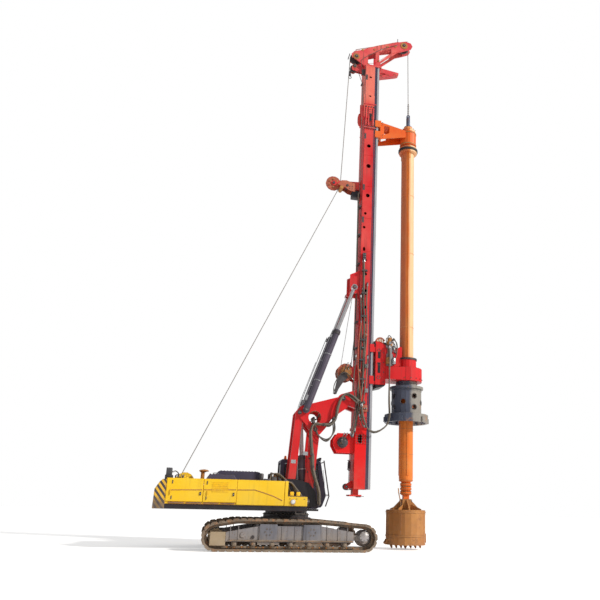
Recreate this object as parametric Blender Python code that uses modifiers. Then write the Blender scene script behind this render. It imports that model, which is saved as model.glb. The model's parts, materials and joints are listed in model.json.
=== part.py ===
"""Rotary piling rig on tracks: leader mast, rotary drive, telescopic kelly bar and drilling bucket.

Metres, +X forward, +Y to the machine's left, +Z up, ground at z = 0. Every place below is written from the
slew axis, at x = 0. The empty rig_origin moves the whole machine so that its box is centred on x = 0.
"""

import math

import bmesh
import bpy
from mathutils import Matrix, Vector

# Seats, running gaps and the overlap of shapes that are joined into one
seat = 0.0003
weld_distance = 0.00001
flat_angle = math.radians(0.05)
running_gap = 0.007
merge_depth = 0.012
overrun = 0.05

# Track
track_length = 5.40
track_height = 0.95
track_gauge = 3.28
shoe_width = 0.70
end_radius = 0.42
crest_rear_x = -1.55
crest_front_x = 0.85
crest_radius = 1.30
shoe_pitch = 0.216
shoe_plate = 0.030
shoe_gap = 0.014
grouser_height = 0.028
loop_web = 0.014
link_height = 0.095
link_width = 0.22
loop_arc_steps = 6
wheel_fit_share = 0.962

# Track frame, rollers, idler and final drive
frame_rear_x = -1.985
frame_front_x = 1.95
frame_bottom_z = 0.28
frame_top_z = 0.745
frame_outer_reach = 0.23
frame_inner_reach = 0.20
frame_outline_share = ((0, 0), (1, 0), (1, 0.68), (0.738, 1), (0.262, 1), (0, 0.60))
roller_radius = 0.095
roller_reach = 0.13
roller_rear_x = -1.72
roller_front_x = 1.68
roller_count = 7
roller_sides = 8
carrier_radius = 0.045
carrier_x = (-1.05, 0.30)
beam_cap_thickness = 0.045
guard_size = (0.66, 0.06, 0.075)
guard_x = -0.70
fork_thickness = 0.04
fork_height = 0.16
wheel_reach = 0.115
hub_disc_radius = 0.175
hub_disc_thickness = 0.05
idler_groove = 0.03
sprocket_tooth = 0.045
sprocket_teeth = 13
hub_radius = 0.14
drive_cover_length = 0.47
drive_cover_height = 0.40
drive_cover_z = 0.36
drive_cover_thickness = 0.10
motor_radius = 0.13
motor_length = 0.16

# Car body and slew ring
beam_x = (-0.72, 0.635)
beam_width = 0.54
beam_bottom_z = 0.33
beam_top_z = 0.70
centre_box_half = 0.80
centre_box_corner = 0.30
centre_box_bottom_z = 0.44
centre_box_top_z = 0.99
slew_lower_radius = 0.76
slew_upper_radius = 0.70
slew_split_z = 1.10

# Turntable
deck_bottom_z = 1.185
deck_top_z = 1.335
deck_plate = 0.045
deck_half_width = 1.38
deck_rear_x = -3.88
deck_front_x = 0.50
rim_width = 0.12
spine_half_gap = 0.44
spine_width = 0.16
platform_front_x = 1.16
platform_top_z = 1.255

# Counterweight
weight_rear_x = -4.23
weight_bottom_z = 1.185
weight_top_z = 2.06
weight_half_width = 1.41
weight_outline_share = ((0, 0.02), (0.03, 0), (1, 0), (1, 1), (0.66, 1), (0.40, 0.90), (0.04, 0.66))
weight_bevel = 0.012

# House, doors, tank and nose
skin_y = 1.41
skin = 0.035
house_top_z = 2.10
house_wall = 0.04
house_front_x = -1.74
winch_bay_front_x = -2.90
door_bottom_z = 1.40
door_seam = 0.012
door_split_x = -2.77
tank_front_x = -0.25
tank_inner_y = 0.52
nose_front_x = 0.50
nose_pillar_x = -0.13
nose_top_z = 1.63
lamp_x = 0.04
lamp_z = 1.47
lamp_radius = 0.078
lamp_depth = 0.03
panel_bevel = 0.014
tank_cap_radius = 0.07
tank_cap_height = 0.035
louvre_length = 0.50
louvre_height = 0.022
louvre_depth = 0.012
louvre_step = 0.055
louvre_count = 6
handle_length = 0.14
handle_radius = 0.012
handle_stand = 0.03

# Engine, hoods and exhaust
engine_size = (1.00, 0.95, 0.60)
engine_x = -2.33
hood_x = (-2.72, -1.76)
hood_y = (-1.22, 0.06)
hood_height = 0.15
hood_slope = 0.10
air_box_x = (-2.40, -0.86)
air_box_y = (0.34, 1.26)
air_box_height = 0.34
air_box_corner = 0.16
exhaust_x = -2.83
exhaust_y = -0.62
exhaust_radius = 0.06
exhaust_top_z = 2.34
exhaust_cap_radius = 0.10
exhaust_cap_height = 0.05

# Main winch
winch_x = -3.38
winch_z = 2.02
winch_drum_radius = 0.20
winch_flange_radius = 0.30
winch_flange = 0.035
winch_half_length = 0.42
winch_shaft_radius = 0.06
winch_plate = 0.035
winch_plate_outline_share = ((-1.25, 0), (1.25, 0), (0.75, 0.85), (0.35, 1.0), (-0.35, 1.0), (-0.75, 0.85))

# Cab
cab_inner_y = 0.505
cab_outer_y = 1.425
cab_rear_x = -0.22
cab_bottom_z = 1.26
cab_top_z = 2.91
cab_length = 1.65
cab_wall = 0.05
cab_outline_share = (
    (0, 0), (0.80, 0), (0.93, 0.07), (1, 0.27), (0.86, 0.96), (0.81, 1), (0.03, 1), (0, 0.97)
)
cab_door_x = (-0.02, 1.02)
cab_door_bottom_z = 1.36
cab_door_top_z = 2.82
cab_window_sill_share = 0.46
cab_window_head_share = 0.93
cab_post = 0.09
cab_hinge_radius = 0.012
cab_hinge_length = 0.10
cab_seat_size = (0.50, 0.48, 0.12)
cab_seat_x = 0.42
cab_seat_height = 0.45
cab_seat_back_height = 0.62
cab_seat_back = 0.11

# Places of the front linkage, as (x, z)
link_foot = Vector((0.07, 2.06))
link_top = Vector((0.22, 4.44))
boom_foot = Vector((0.64, 1.50))
boom_top = boom_foot + link_top - link_foot
lift_foot = Vector((0.54, 1.52))
lift_eye = Vector((0.33, 4.36))
mast_pivot = Vector((1.74, 5.01))
stay_foot = Vector((0.42, 4.52))
stay_eye = Vector((1.98, 9.13))

# Front linkage across the machine: inner plate, arm, outer plate
plate_thickness = 0.030
inner_plate_y = 0.265
arm_low_y = inner_plate_y + plate_thickness + running_gap
arm_width = 0.146
arm_high_y = arm_low_y + arm_width
outer_plate_y = arm_high_y + running_gap
outer_face_y = outer_plate_y + plate_thickness
pin_radius = 0.055
boom_pin_radius = 0.070
pin_sides = 10
eye_radius = 0.125
boom_eye_radius = 0.17
boom_boss_radius = 0.13
boom_boss_depth = 0.02
arm_cross_share = 0.40
arm_cross_radius = 0.075
link_cross_radius = 0.06
bracket_outline_share = (
    (-0.42, 0), (0.98, 0), (0.90, 0.55), (0.66, 0.87), (0.18, 1.0), (-0.10, 1.0), (-0.24, 0.80)
)
bracket_reach_x = 1.0
bracket_top_z = 2.22

# Triangle that carries the mast
triangle_length = 1.80
triangle_height = 1.52
triangle_outline_share = (
    (0.02, 0.44),
    (0.20, 0.215),
    (0.30, 0.06),
    (0.36, 0.0),
    (0.41, 0.0),
    (0.47, 0.06),
    (0.58, 0.22),
    (0.68, 0.42),
    (0.96, 0.664),
    (1.06, 0.925),
    (1.03, 1.0),
    (0.06, 0.655),
    (0.0, 0.56),
)
triangle_origin = Vector((0.14, 3.66))
triangle_box_x = (1.10, 1.42)
triangle_box_z = (4.38, 4.80)
triangle_hole = Vector((0.757, 4.30))
triangle_hole_radius = 0.225
triangle_hole_wall = 0.018
triangle_hole_sides = 20

# Cylinders: (barrel radius, rod radius)
lift_barrel_radius = 0.105
lift_rod_radius = 0.055
lift_y = 0.135
lift_barrel_share = 0.53
lift_eye_width = 0.12
lift_foot_eye_radius = 0.11
stay_barrel_radius = 0.115
stay_rod_radius = 0.060
stay_y = 0.615
stay_barrel_share = 0.635
stay_eye_width = 0.13
stay_foot_eye_radius = 0.12
eye_play = 0.030
gland_length = 0.10
gland_extra = 0.012
cylinder_sides = 12
lift_rod_inset = 0.20
stay_rod_inset = 0.38

# Mast
mast_rear_x = 2.22
mast_front_x = 2.68
mast_half_width = 0.38
mast_wall = 0.025
rail_front_x = 2.82
rail_y = (0.24, 0.345)
mast_bottom_z = 1.94
mast_split_z = (4.02, 16.60)
mast_top_z = 19.10
splice_height = 1.05
splice_thickness = 0.028
flange_reach = 0.035
flange_thickness = 0.05
stay_bracket_z = (9.00, 9.92)
mast_foot_z = 1.71
foot_pad_thickness = 0.05
foot_pad_x = (2.10, 2.54)
foot_neck_x = (2.24, 2.44)
foot_half_width = 0.24

# Sheaves: (name, x, z, radius) with one groove each
sheave_width = 0.075
sheave_groove = 0.030
sheave_pin_radius = 0.045
cheek_thickness = 0.025
sheaves = (
    ("head_sheave_front", 3.93, 20.57, 0.25),
    ("head_sheave_rear", 1.84, 19.60, 0.25),
    ("aux_sheave", 1.78, 19.10, 0.17),
    ("mid_sheave", 1.12, 13.60, 0.30),
    ("crowd_sheave", 2.02, 2.02, 0.11),
)

# Holes through both sides of the mast: x, z, half width, half height
mast_lower_holes = ((2.40, 3.64, 0.085, 0.155),)
mast_middle_holes = (
    (2.44, 5.53, 0.07, 0.07),
    (2.44, 6.08, 0.07, 0.07),
    (2.46, 7.88, 0.06, 0.06),
    (2.46, 8.48, 0.06, 0.06),
    (2.46, 9.13, 0.06, 0.06),
    (2.44, 9.79, 0.06, 0.06),
    (2.43, 10.36, 0.05, 0.05),
    (2.36, 10.80, 0.05, 0.09),
    (2.34, 11.71, 0.055, 0.055),
    (2.37, 12.30, 0.055, 0.055),
    (2.45, 13.08, 0.08, 0.08),
    (2.45, 14.38, 0.09, 0.09),
    (2.44, 15.29, 0.08, 0.08),
)
mast_upper_holes = ((2.44, 17.62, 0.05, 0.05), (2.44, 18.55, 0.06, 0.04))
mast_hole_sides = 12

# Mast head
head_half_width = 0.20
head_plate = 0.022
head_origin = Vector((1.62, 19.10))
head_length = 2.70
head_height = 1.75
head_outline_share = (
    (0.235, 0.0),
    (0.465, 0.0),
    (0.47, 0.17),
    (0.74, 0.56),
    (0.84, 0.63),
    (0.97, 0.73),
    (1.0, 0.83),
    (0.97, 0.915),
    (0.88, 0.945),
    (0.80, 0.90),
    (0.72, 0.87),
    (0.40, 0.66),
    (0.15, 0.455),
    (0.05, 0.40),
    (0.0, 0.31),
    (0.01, 0.22),
    (0.09, 0.15),
)
head_window_share = ((0.27, 0.06), (0.39, 0.06), (0.39, 0.45), (0.27, 0.37))
head_front_window_share = ((0.45, 0.21), (0.645, 0.52), (0.64, 0.655), (0.45, 0.56))
head_tie_share = ((0.20, 0.30), (0.43, 0.58), (0.70, 0.62))
head_base_x = (2.19, 2.90)
head_base_thickness = 0.06
finger_x = (2.84, 3.72)
finger_z = (18.80, 19.30)
finger_half_width = 0.11
finger_roll_radius = 0.10
finger_slot = (3.03, 19.02, 0.13, 0.045)

# Mast winches
crowd_x = 1.80
crowd_z = 3.50
crowd_radius = 0.19
crowd_flange_radius = 0.26
crowd_half_length = 0.24
crowd_frame_x = 1.46
crowd_frame_z = (3.14, 3.82)
aux_x = 1.85
aux_z = 6.01
aux_radius = 0.25
aux_flange_radius = 0.32
aux_half_length = 0.22
aux_plate_x = 1.66
aux_plate_z = (5.72, 6.28)
small_shaft_radius = 0.045
mast_winch_plate = 0.03

# Mid pulley bracket
pulley_arm_z = (13.42, 13.78)
pulley_tip_radius = 0.10
brace_radius = 0.035
brace_foot_z = 12.95

# Kelly bar
kelly_x = 4.20
kelly_radius = 0.250
kelly_wall = 0.022
kelly_key_height = 0.016
kelly_key_width = 0.07
kelly_key_count = 3
kelly_bottom_z = 2.26
kelly_taper = 0.10
kelly_sides = 20
stop_ring_z = (15.38, 15.62)
stop_ring_radius = 0.37
neck_flange_radius = 0.30
inner_kelly_radius = 0.185
inner_kelly_wall = 0.028
inner_kelly_top_z = 16.62
inner_ring_z = (16.05, 16.30)
neck_z = 2.24
neck_rings = 3
neck_ring_radius = 0.205
neck_ring_radius_small = 0.165
neck_ring_height = 0.145
stub_half = 0.10
stub_bottom_z = 1.36
swivel_radius = 0.085
swivel_height = 0.50
swivel_eye_height = 0.16

# Kelly guide
guide_top_z = 16.54
guide_rear_bottom_z = 15.73
guide_front_bottom_z = 16.02
guide_rear_x = 2.90
guide_collar_radius = 0.33
guide_collar_z = (15.72, 16.35)
neck_flange_z = (guide_collar_z[1] + seat, 16.46)
guide_plate_y = 0.30
guide_plate = 0.03
guide_window_share = ((0.16, 0.30), (0.36, 0.42), (0.36, 0.80), (0.16, 0.80))
shoe_block_height = 0.30
shoe_block_clear = 0.0005
shoe_block_wall = 0.05

# Rotary drive
drive_z = (5.81, 6.30)
drive_radius = 0.57
drive_bore_radius = 0.335
collar_radius = 0.36
collar_top_z = 6.70
carriage_x = (2.90, 3.28)
carriage_slope = 0.20
carriage_z = (5.60, 7.24)
carriage_half_width = 0.42
carriage_arch_share = 0.16
drive_arm_half_width = 0.46
gusset_y = (0.20, 0.225)
gusset_outline = ((3.268, 6.38), (3.97, 6.38), (3.97, 7.08), (3.90, 7.11), (3.44, 6.85), (3.268, 6.80))
gusset_window = ((3.50, 6.43), (3.80, 6.43), (3.50, 6.60))
motor_body_radius = 0.13
motor_head_radius = 0.10
motor_places = ((3.42, 0.40), (3.42, -0.40), (3.52, 0.0))
motor_top_z = 7.05
manifold_height = 0.06

# Casing adapter below the rotary drive
neck_radius = 0.40
neck_bottom_z = 5.62
ring_radius = 0.62
ring_bottom_z = 5.53
drum_radius = 0.55
drum_bottom_z = 4.60
adapter_flange_radius = 0.80
adapter_bottom_z = 4.31
adapter_bore_radius = 0.33
adapter_lug = 0.05
adapter_lugs = 6
# Holes in the drum of the adapter, column by column round it
adapter_hole_radius = 0.09
adapter_hole_columns = 8
adapter_hole_turn = -1.29
adapter_hole_rows = ((4.85, 5.25), (5.04,))

# Drilling bucket
bucket_radius = 0.69
bucket_wall = 0.022
bucket_bottom_z = 0.20
bucket_top_z = 1.30
bucket_lid = 0.05
ear_outline_share = ((0.30, 0), (1.0, 0), (0.86, 0.30), (0.34, 1.0), (0.30, 1.0))
ear_reach = 0.50
ear_height = 0.36
ear_thickness = 0.05
socket_half = 0.16
bucket_door_thickness = 0.05
tooth_length = 0.12
tooth_width = 0.07
tooth_count = 7
tip_radius = 0.09
tip_bottom_z = 0.02
door_hinge_radius = 0.035
door_hinge_length = 0.20

# Shares of neighbouring sizes, and the angles that part smooth from sharp
idler_groove_share = 0.4
cap_rim_share = 0.8
lamp_lens_share = 0.8
door_post_share = 0.8
barrel_floor_share = 1.6
foot_taper_share = 0.7
inner_flare_share = 0.95
sheave_cheek_share = 1.6
stay_reach_share = 0.7
swivel_eye_share = 0.35
swivel_stem_share = 0.8
swivel_head_share = 0.9
guide_front_share = 0.6
guide_lip_share = 1.5
motor_body_share = 0.6
tip_point_share = 0.2
tip_clear_share = 1.5
cut_reach_share = 1.5
boom_foot_share = 0.85
nose_deck_share = 0.7
floor_nose_share = 0.82
toe_height_share = 0.14
roof_window_rear_share = 0.30
roof_window_front_share = 0.62
cushion_share = 0.7
bracket_drop_share = 0.2
door_root_share = 0.9
smooth_angle = math.radians(32)
bevel_angle = math.radians(40)

# Turned pieces and arcs
hole_sides = 8
round_sides = 14
arc_steps = 3

origin_x = -(weight_rear_x + kelly_x + adapter_flange_radius + adapter_lug) / 2

for old in list(bpy.data.objects):
    bpy.data.objects.remove(old, do_unlink=True)

machine = bpy.data.collections.new("piling_rig")
cutters = bpy.data.collections.new("cutters")
bpy.context.scene.collection.children.link(machine)
bpy.context.scene.collection.children.link(cutters)

# Colour, roughness and metallic of each finish
FINISHES = {
    "red_paint": ((0.62, 0.02, 0.02), 0.38, 0.0),
    "orange_paint": ((0.75, 0.17, 0.03), 0.45, 0.0),
    "yellow_paint": ((0.92, 0.60, 0.04), 0.36, 0.0),
    "dark_paint": ((0.05, 0.05, 0.07), 0.40, 0.0),
    "cylinder_paint": ((0.08, 0.07, 0.09), 0.35, 0.2),
    "steel_blue": ((0.12, 0.13, 0.18), 0.45, 0.5),
    "frame_grey": ((0.28, 0.27, 0.28), 0.50, 0.2),
    "track_steel": ((0.17, 0.11, 0.07), 0.75, 0.4),
    "rust": ((0.40, 0.19, 0.08), 0.85, 0.2),
    "chrome_rod": ((0.75, 0.75, 0.76), 0.15, 1.0),
    "black_steel": ((0.03, 0.03, 0.035), 0.50, 0.3),
    "rubber": ((0.02, 0.02, 0.02), 0.85, 0.0),
    "seat_fabric": ((0.04, 0.04, 0.05), 0.90, 0.0),
    "glass": ((0.10, 0.13, 0.15), 0.08, 0.0),
    "lamp_white": ((0.85, 0.85, 0.85), 0.20, 0.0),
}


def finish(name):
    """The Principled material of that name, made on first use."""
    found = bpy.data.materials.get(name)
    if found:
        return found
    colour, roughness, metallic = FINISHES[name]
    made = bpy.data.materials.new(name)
    made.use_nodes = True
    shader = made.node_tree.nodes["Principled BSDF"]
    shader.inputs["Base Color"].default_value = (*colour, 1)
    shader.inputs["Roughness"].default_value = roughness
    shader.inputs["Metallic"].default_value = metallic
    made.diffuse_color = (*colour, 1)
    return made


pivot_places = {}


def pivot(name, place, parent=None):
    """An empty at a joint, under the empty of the body that carries it."""
    empty = bpy.data.objects.new(name, None)
    machine.objects.link(empty)
    pivot_places[name] = Vector(place)
    empty.location = Vector(place)
    if parent:
        empty.parent = bpy.data.objects[parent]
        empty.location = Vector(place) - pivot_places[parent]
    return name


def part(obj, name, finish_name, parent):
    """Names a finished shape, gives it its finish and hangs it on its body's empty."""
    for group in list(obj.users_collection):
        group.objects.unlink(obj)
    machine.objects.link(obj)
    obj.name = name
    obj.data.name = name
    obj.data.materials.clear()
    obj.data.materials.append(finish(finish_name))
    obj.data.shade_smooth()
    obj.data.set_sharp_from_angle(angle=smooth_angle)
    obj.parent = bpy.data.objects[parent]
    obj.location = -pivot_places[parent]
    return obj


def from_bmesh(shape, name="shape"):
    """A plain object from a closed bmesh, with its faces turned outwards."""
    bmesh.ops.recalc_face_normals(shape, faces=shape.faces)
    mesh = bpy.data.meshes.new(name)
    shape.to_mesh(mesh)
    shape.free()
    obj = bpy.data.objects.new(name, mesh)
    cutters.objects.link(obj)
    return obj


def evaluated_mesh(obj):
    graph = bpy.context.evaluated_depsgraph_get()
    return bpy.data.meshes.new_from_object(obj.evaluated_get(graph))


def solid_of(obj, matrix=None):
    """The evaluated object as a plain welded mesh object. The first object is removed."""
    mesh = evaluated_mesh(obj)
    shape = bmesh.new()
    shape.from_mesh(mesh)
    bmesh.ops.remove_doubles(shape, verts=shape.verts, dist=weld_distance)
    if matrix is not None:
        bmesh.ops.transform(shape, matrix=matrix, verts=shape.verts)
    bpy.data.objects.remove(obj, do_unlink=True)
    return from_bmesh(shape)


def block(low, high):
    """A box between two corners."""
    shape = bmesh.new()
    bmesh.ops.create_cube(shape, size=1)
    size = Vector(high) - Vector(low)
    middle = (Vector(high) + Vector(low)) / 2
    matrix = Matrix.Translation(middle) @ Matrix.Diagonal((*size, 1))
    bmesh.ops.transform(shape, matrix=matrix, verts=shape.verts)
    return from_bmesh(shape)


def rod(start, end, radius, sides=pin_sides, end_radius=None, turn_share=0):
    """A cylinder or cone between two points. turn_share turns it by that share of one facet."""
    start = Vector(start)
    along = Vector(end) - start
    shape = bmesh.new()
    bmesh.ops.create_cone(
        shape,
        cap_ends=True,
        segments=sides,
        radius1=radius,
        radius2=radius if end_radius is None else end_radius,
        depth=along.length,
    )
    turn = Matrix.Rotation(2 * math.pi * turn_share / sides, 4, "Z")
    point = along.to_track_quat("Z", "Y").to_matrix().to_4x4()
    matrix = Matrix.Translation(start + along / 2) @ point @ turn
    bmesh.ops.transform(shape, matrix=matrix, verts=shape.verts)
    return from_bmesh(shape)


def flat_outline(outline, holes, depth, matrix):
    """A filled 2D outline with holes, extruded by half its depth each way, as a mesh."""
    curve = bpy.data.curves.new("outline", "CURVE")
    curve.dimensions = "2D"
    curve.fill_mode = "BOTH"
    curve.extrude = depth / 2
    for ring in (outline, *holes):
        spline = curve.splines.new("POLY")
        spline.points.add(len(ring) - 1)
        for point, (u, v) in zip(spline.points, ring):
            point.co = (u, v, 0, 1)
        spline.use_cyclic_u = True
    obj = bpy.data.objects.new("outline", curve)
    cutters.objects.link(obj)
    return solid_of(obj, matrix)


def side_plate(outline, y_low, y_high, holes=()):
    """A plate whose outline is in x and z, between two values of y."""
    matrix = Matrix.Translation((0, (y_low + y_high) / 2, 0)) @ Matrix.Rotation(math.pi / 2, 4, "X")
    return flat_outline(outline, holes, abs(y_high - y_low), matrix)


def deck_shape(outline, z_low, z_high, holes=()):
    """A plate whose outline is in x and y, between two values of z."""
    return flat_outline(outline, holes, z_high - z_low, Matrix.Translation((0, 0, (z_low + z_high) / 2)))


def cross_plate(outline, x_low, x_high, holes=()):
    """A plate whose outline is in y and z, between two values of x."""
    turn = Matrix(((0, 0, 1, 0), (1, 0, 0, 0), (0, 1, 0, 0), (0, 0, 0, 1)))
    return flat_outline(
        outline, holes, x_high - x_low, Matrix.Translation(((x_low + x_high) / 2, 0, 0)) @ turn
    )


def turned(profile, matrix, sides=round_sides, ring=False):
    """A turned shape from (radius, height) points down its outer side. A ring has a closed profile."""
    mesh = bpy.data.meshes.new("profile")
    points = [(radius, 0, height) for radius, height in profile]
    edges = [(i, i + 1) for i in range(len(points) - 1)]
    if ring:
        edges.append((len(points) - 1, 0))
    mesh.from_pydata(points, edges, [])
    obj = bpy.data.objects.new("profile", mesh)
    cutters.objects.link(obj)
    screw = obj.modifiers.new("turn", "SCREW")
    screw.steps = sides
    screw.render_steps = sides
    screw.use_merge_vertices = True
    screw.merge_threshold = weld_distance
    return solid_of(obj, matrix)


def carve(base, operation, tools):
    """Joins the tools to the base, or cuts them from it. The tools stay hidden among the cutters."""
    for tool in tools:
        change = base.modifiers.new("shape", "BOOLEAN")
        change.operation = operation
        change.solver = "EXACT"
        change.object = tool
        tool.hide_render = True
        tool.display_type = "WIRE"
    mesh = evaluated_mesh(base)
    base.modifiers.clear()
    shape = bmesh.new()
    shape.from_mesh(mesh)
    bmesh.ops.remove_doubles(shape, verts=shape.verts, dist=weld_distance)
    bmesh.ops.dissolve_degenerate(shape, edges=shape.edges, dist=weld_distance)
    bmesh.ops.dissolve_limit(shape, angle_limit=flat_angle, verts=shape.verts, edges=shape.edges)
    shape.to_mesh(mesh)
    shape.free()
    base.data = mesh
    return base


def fuse(base, *tools):
    return carve(base, "UNION", tools)


def cut(base, *tools):
    return carve(base, "DIFFERENCE", tools)


def bevelled(obj, width):
    """The object with its sharp edges bevelled, as a mesh."""
    bevel = obj.modifiers.new("edges", "BEVEL")
    bevel.width = width
    bevel.segments = 1
    bevel.limit_method = "ANGLE"
    bevel.angle_limit = bevel_angle
    mesh = evaluated_mesh(obj)
    obj.modifiers.clear()
    obj.data = mesh
    return obj


def placed(shares, origin, length, height):
    """Outline points from shares of a length and a height."""
    return [(origin[0] + u * length, origin[1] + v * height) for u, v in shares]


def ring_points(centre, radius, sides=pin_sides, turn_share=0.0):
    """Corners of a regular polygon."""
    return [
        (
            centre[0] + radius * math.cos(2 * math.pi * (i + turn_share) / sides),
            centre[1] + radius * math.sin(2 * math.pi * (i + turn_share) / sides),
        )
        for i in range(sides)
    ]


def bore_points(centre, pin, sides=pin_sides, pin_turn_share=pin_sides / 4):
    """A bore for a faceted pin to turn in: its flats face the pin's corners, a seat away from them."""
    return ring_points(centre, (pin + seat) / math.cos(math.pi / sides), sides, pin_turn_share + 0.5)


def arc_points(centre, radius, start, end, steps=arc_steps):
    """Points on an arc between two angles in degrees, ends included."""
    return [
        (
            centre[0] + radius * math.cos(math.radians(start + (end - start) * i / steps)),
            centre[1] + radius * math.sin(math.radians(start + (end - start) * i / steps)),
        )
        for i in range(steps + 1)
    ]


def bar_outline(low, high, low_radius, high_radius, steps=arc_steps):
    """A link with round ends between two points."""
    low = Vector(low)
    high = Vector(high)
    along = high - low
    heading = math.degrees(math.atan2(along.y, along.x))
    lean = math.degrees(math.asin((low_radius - high_radius) / along.length))
    upper = arc_points(high, high_radius, heading - 90 + lean, heading + 90 - lean, steps)
    lower = arc_points(low, low_radius, heading + 90 - lean, heading + 270 + lean, steps)
    return upper + lower


def sided(side, near, far):
    """The two values of y of a piece between |y| = near and |y| = far, in rising order."""
    return (near, far) if side > 0 else (-far, -near)


SIDES = (("right", -1), ("left", 1))
side_signs = (-1, 1)


# Bodies: the undercarriage is the root
pivot("rig_origin", (0, 0, 0))
pivot_places["rig_origin"] = Vector((0, 0, 0))
bpy.data.objects["rig_origin"].location = (origin_x, 0, 0)


def at(place, y=0):
    """The point (x, y, z) of an (x, z) place."""
    return (place[0], y, place[1])


pivot("slew_pivot", (0, 0, slew_split_z), "rig_origin")
pivot("main_winch_pivot", (winch_x, 0, winch_z), "slew_pivot")
pivot("boom_pivot", at(boom_foot), "slew_pivot")
pivot("link_pivot", at(link_foot), "slew_pivot")
pivot("lift_pivot", at(lift_foot), "slew_pivot")
pivot("lift_rod_pivot", at(lift_foot), "lift_pivot")
pivot("triangle_pivot", at(boom_top), "boom_pivot")
pivot("stay_pivot", at(stay_foot), "triangle_pivot")
pivot("stay_rod_pivot", at(stay_foot), "stay_pivot")
pivot("mast_pivot", at(mast_pivot), "triangle_pivot")
pivot("crowd_winch_pivot", (crowd_x, 0, crowd_z), "mast_pivot")
pivot("aux_winch_pivot", (aux_x, 0, aux_z), "mast_pivot")
for sheave_name, sheave_x, sheave_z, sheave_radius in sheaves:
    pivot(sheave_name + "_pivot", (sheave_x, 0, sheave_z), "mast_pivot")
pivot("drive_pivot", (carriage_x[0], 0, drive_z[0]), "mast_pivot")
pivot("adapter_pivot", (kelly_x, 0, drive_z[0]), "drive_pivot")
pivot("guide_pivot", (guide_rear_x, 0, guide_top_z), "mast_pivot")
pivot("kelly_pivot", (kelly_x, 0, neck_flange_z[1]), "guide_pivot")
pivot("inner_kelly_pivot", (kelly_x, 0, inner_kelly_top_z), "kelly_pivot")
pivot("swivel_pivot", (kelly_x, 0, inner_kelly_top_z), "inner_kelly_pivot")


# Track loop: the belt round two end circles and two large crest circles
def loop_circles(offset):
    """(centre, radius) of the circles that the loop bends round, this far inside the grouser tips."""
    end_x = track_length / 2 - end_radius
    return (
        (Vector((-end_x, end_radius)), end_radius - offset),
        (Vector((end_x, end_radius)), end_radius - offset),
        (Vector((crest_front_x, track_height - crest_radius)), crest_radius - offset),
        (Vector((crest_rear_x, track_height - crest_radius)), crest_radius - offset),
    )


def loop_stretches(offset):
    """Arcs and straights of the loop in order: ("arc", centre, radius, from, to) and ("line", from, to)."""
    circles = loop_circles(offset)
    normals = []
    for i, (centre, radius) in enumerate(circles):
        far_centre, far_radius = circles[(i + 1) % len(circles)]
        along = far_centre - centre
        share = (radius - far_radius) / along.length
        ahead = along.normalized()
        right = Vector((ahead.y, -ahead.x))
        normals.append(ahead * share + right * math.sqrt(1 - share * share))
    stretches = []
    for i, (centre, radius) in enumerate(circles):
        start = math.atan2(normals[i - 1].y, normals[i - 1].x)
        end = math.atan2(normals[i].y, normals[i].x)
        while end < start:
            end += 2 * math.pi
        stretches.append(("arc", centre, radius, start, end))
        far_centre, far_radius = circles[(i + 1) % len(circles)]
        stretches.append(("line", centre + normals[i] * radius, far_centre + normals[i] * far_radius))
    return stretches


def stretch_length(stretch):
    if stretch[0] == "arc":
        return stretch[2] * (stretch[4] - stretch[3])
    return (stretch[2] - stretch[1]).length


def loop_frames(offset, count):
    """(point, outward normal, forward tangent) at evenly spaced places on the loop."""
    stretches = loop_stretches(offset)
    total = sum(stretch_length(s) for s in stretches)
    frames = []
    for i in range(count):
        left = total * i / count
        for stretch in stretches:
            length = stretch_length(stretch)
            if left <= length:
                break
            left -= length
        if stretch[0] == "arc":
            angle = stretch[3] + left / stretch[2]
            normal = Vector((math.cos(angle), math.sin(angle)))
            point = stretch[1] + normal * stretch[2]
        else:
            ahead = (stretch[2] - stretch[1]).normalized()
            normal = Vector((ahead.y, -ahead.x))
            point = stretch[1] + ahead * left
        frames.append((point, normal, Vector((-normal.y, normal.x))))
    return frames, total


def loop_outline(offset, steps):
    """The loop as a plain polygon with this many steps on each arc."""
    points = []
    for stretch in loop_stretches(offset):
        if stretch[0] == "arc":
            points += arc_points(
                stretch[1], stretch[2], math.degrees(stretch[3]), math.degrees(stretch[4]), steps
            )
    return points


pitch_offset = shoe_plate + grouser_height
link_offset = pitch_offset + link_height
shoe_rib_share = (-0.30, 0.30)


def shoe_outline():
    """The outer side of the loop: each shoe a flat plate with one broad grouser, notches between."""
    shoe_count = round(loop_frames(pitch_offset, 1)[1] / shoe_pitch)
    frames, total = loop_frames(pitch_offset, shoe_count)
    pitch = total / shoe_count
    half = (pitch - shoe_gap) / 2
    low_share, high_share = shoe_rib_share
    points = []
    for point, normal, ahead in frames:
        base = point + normal * shoe_plate
        points.append(point - ahead * pitch / 2)
        points.append(base - ahead * half)
        points.append(base + ahead * pitch * low_share + normal * grouser_height)
        points.append(base + ahead * pitch * high_share + normal * grouser_height)
        points.append(base + ahead * half)
    return points


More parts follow.
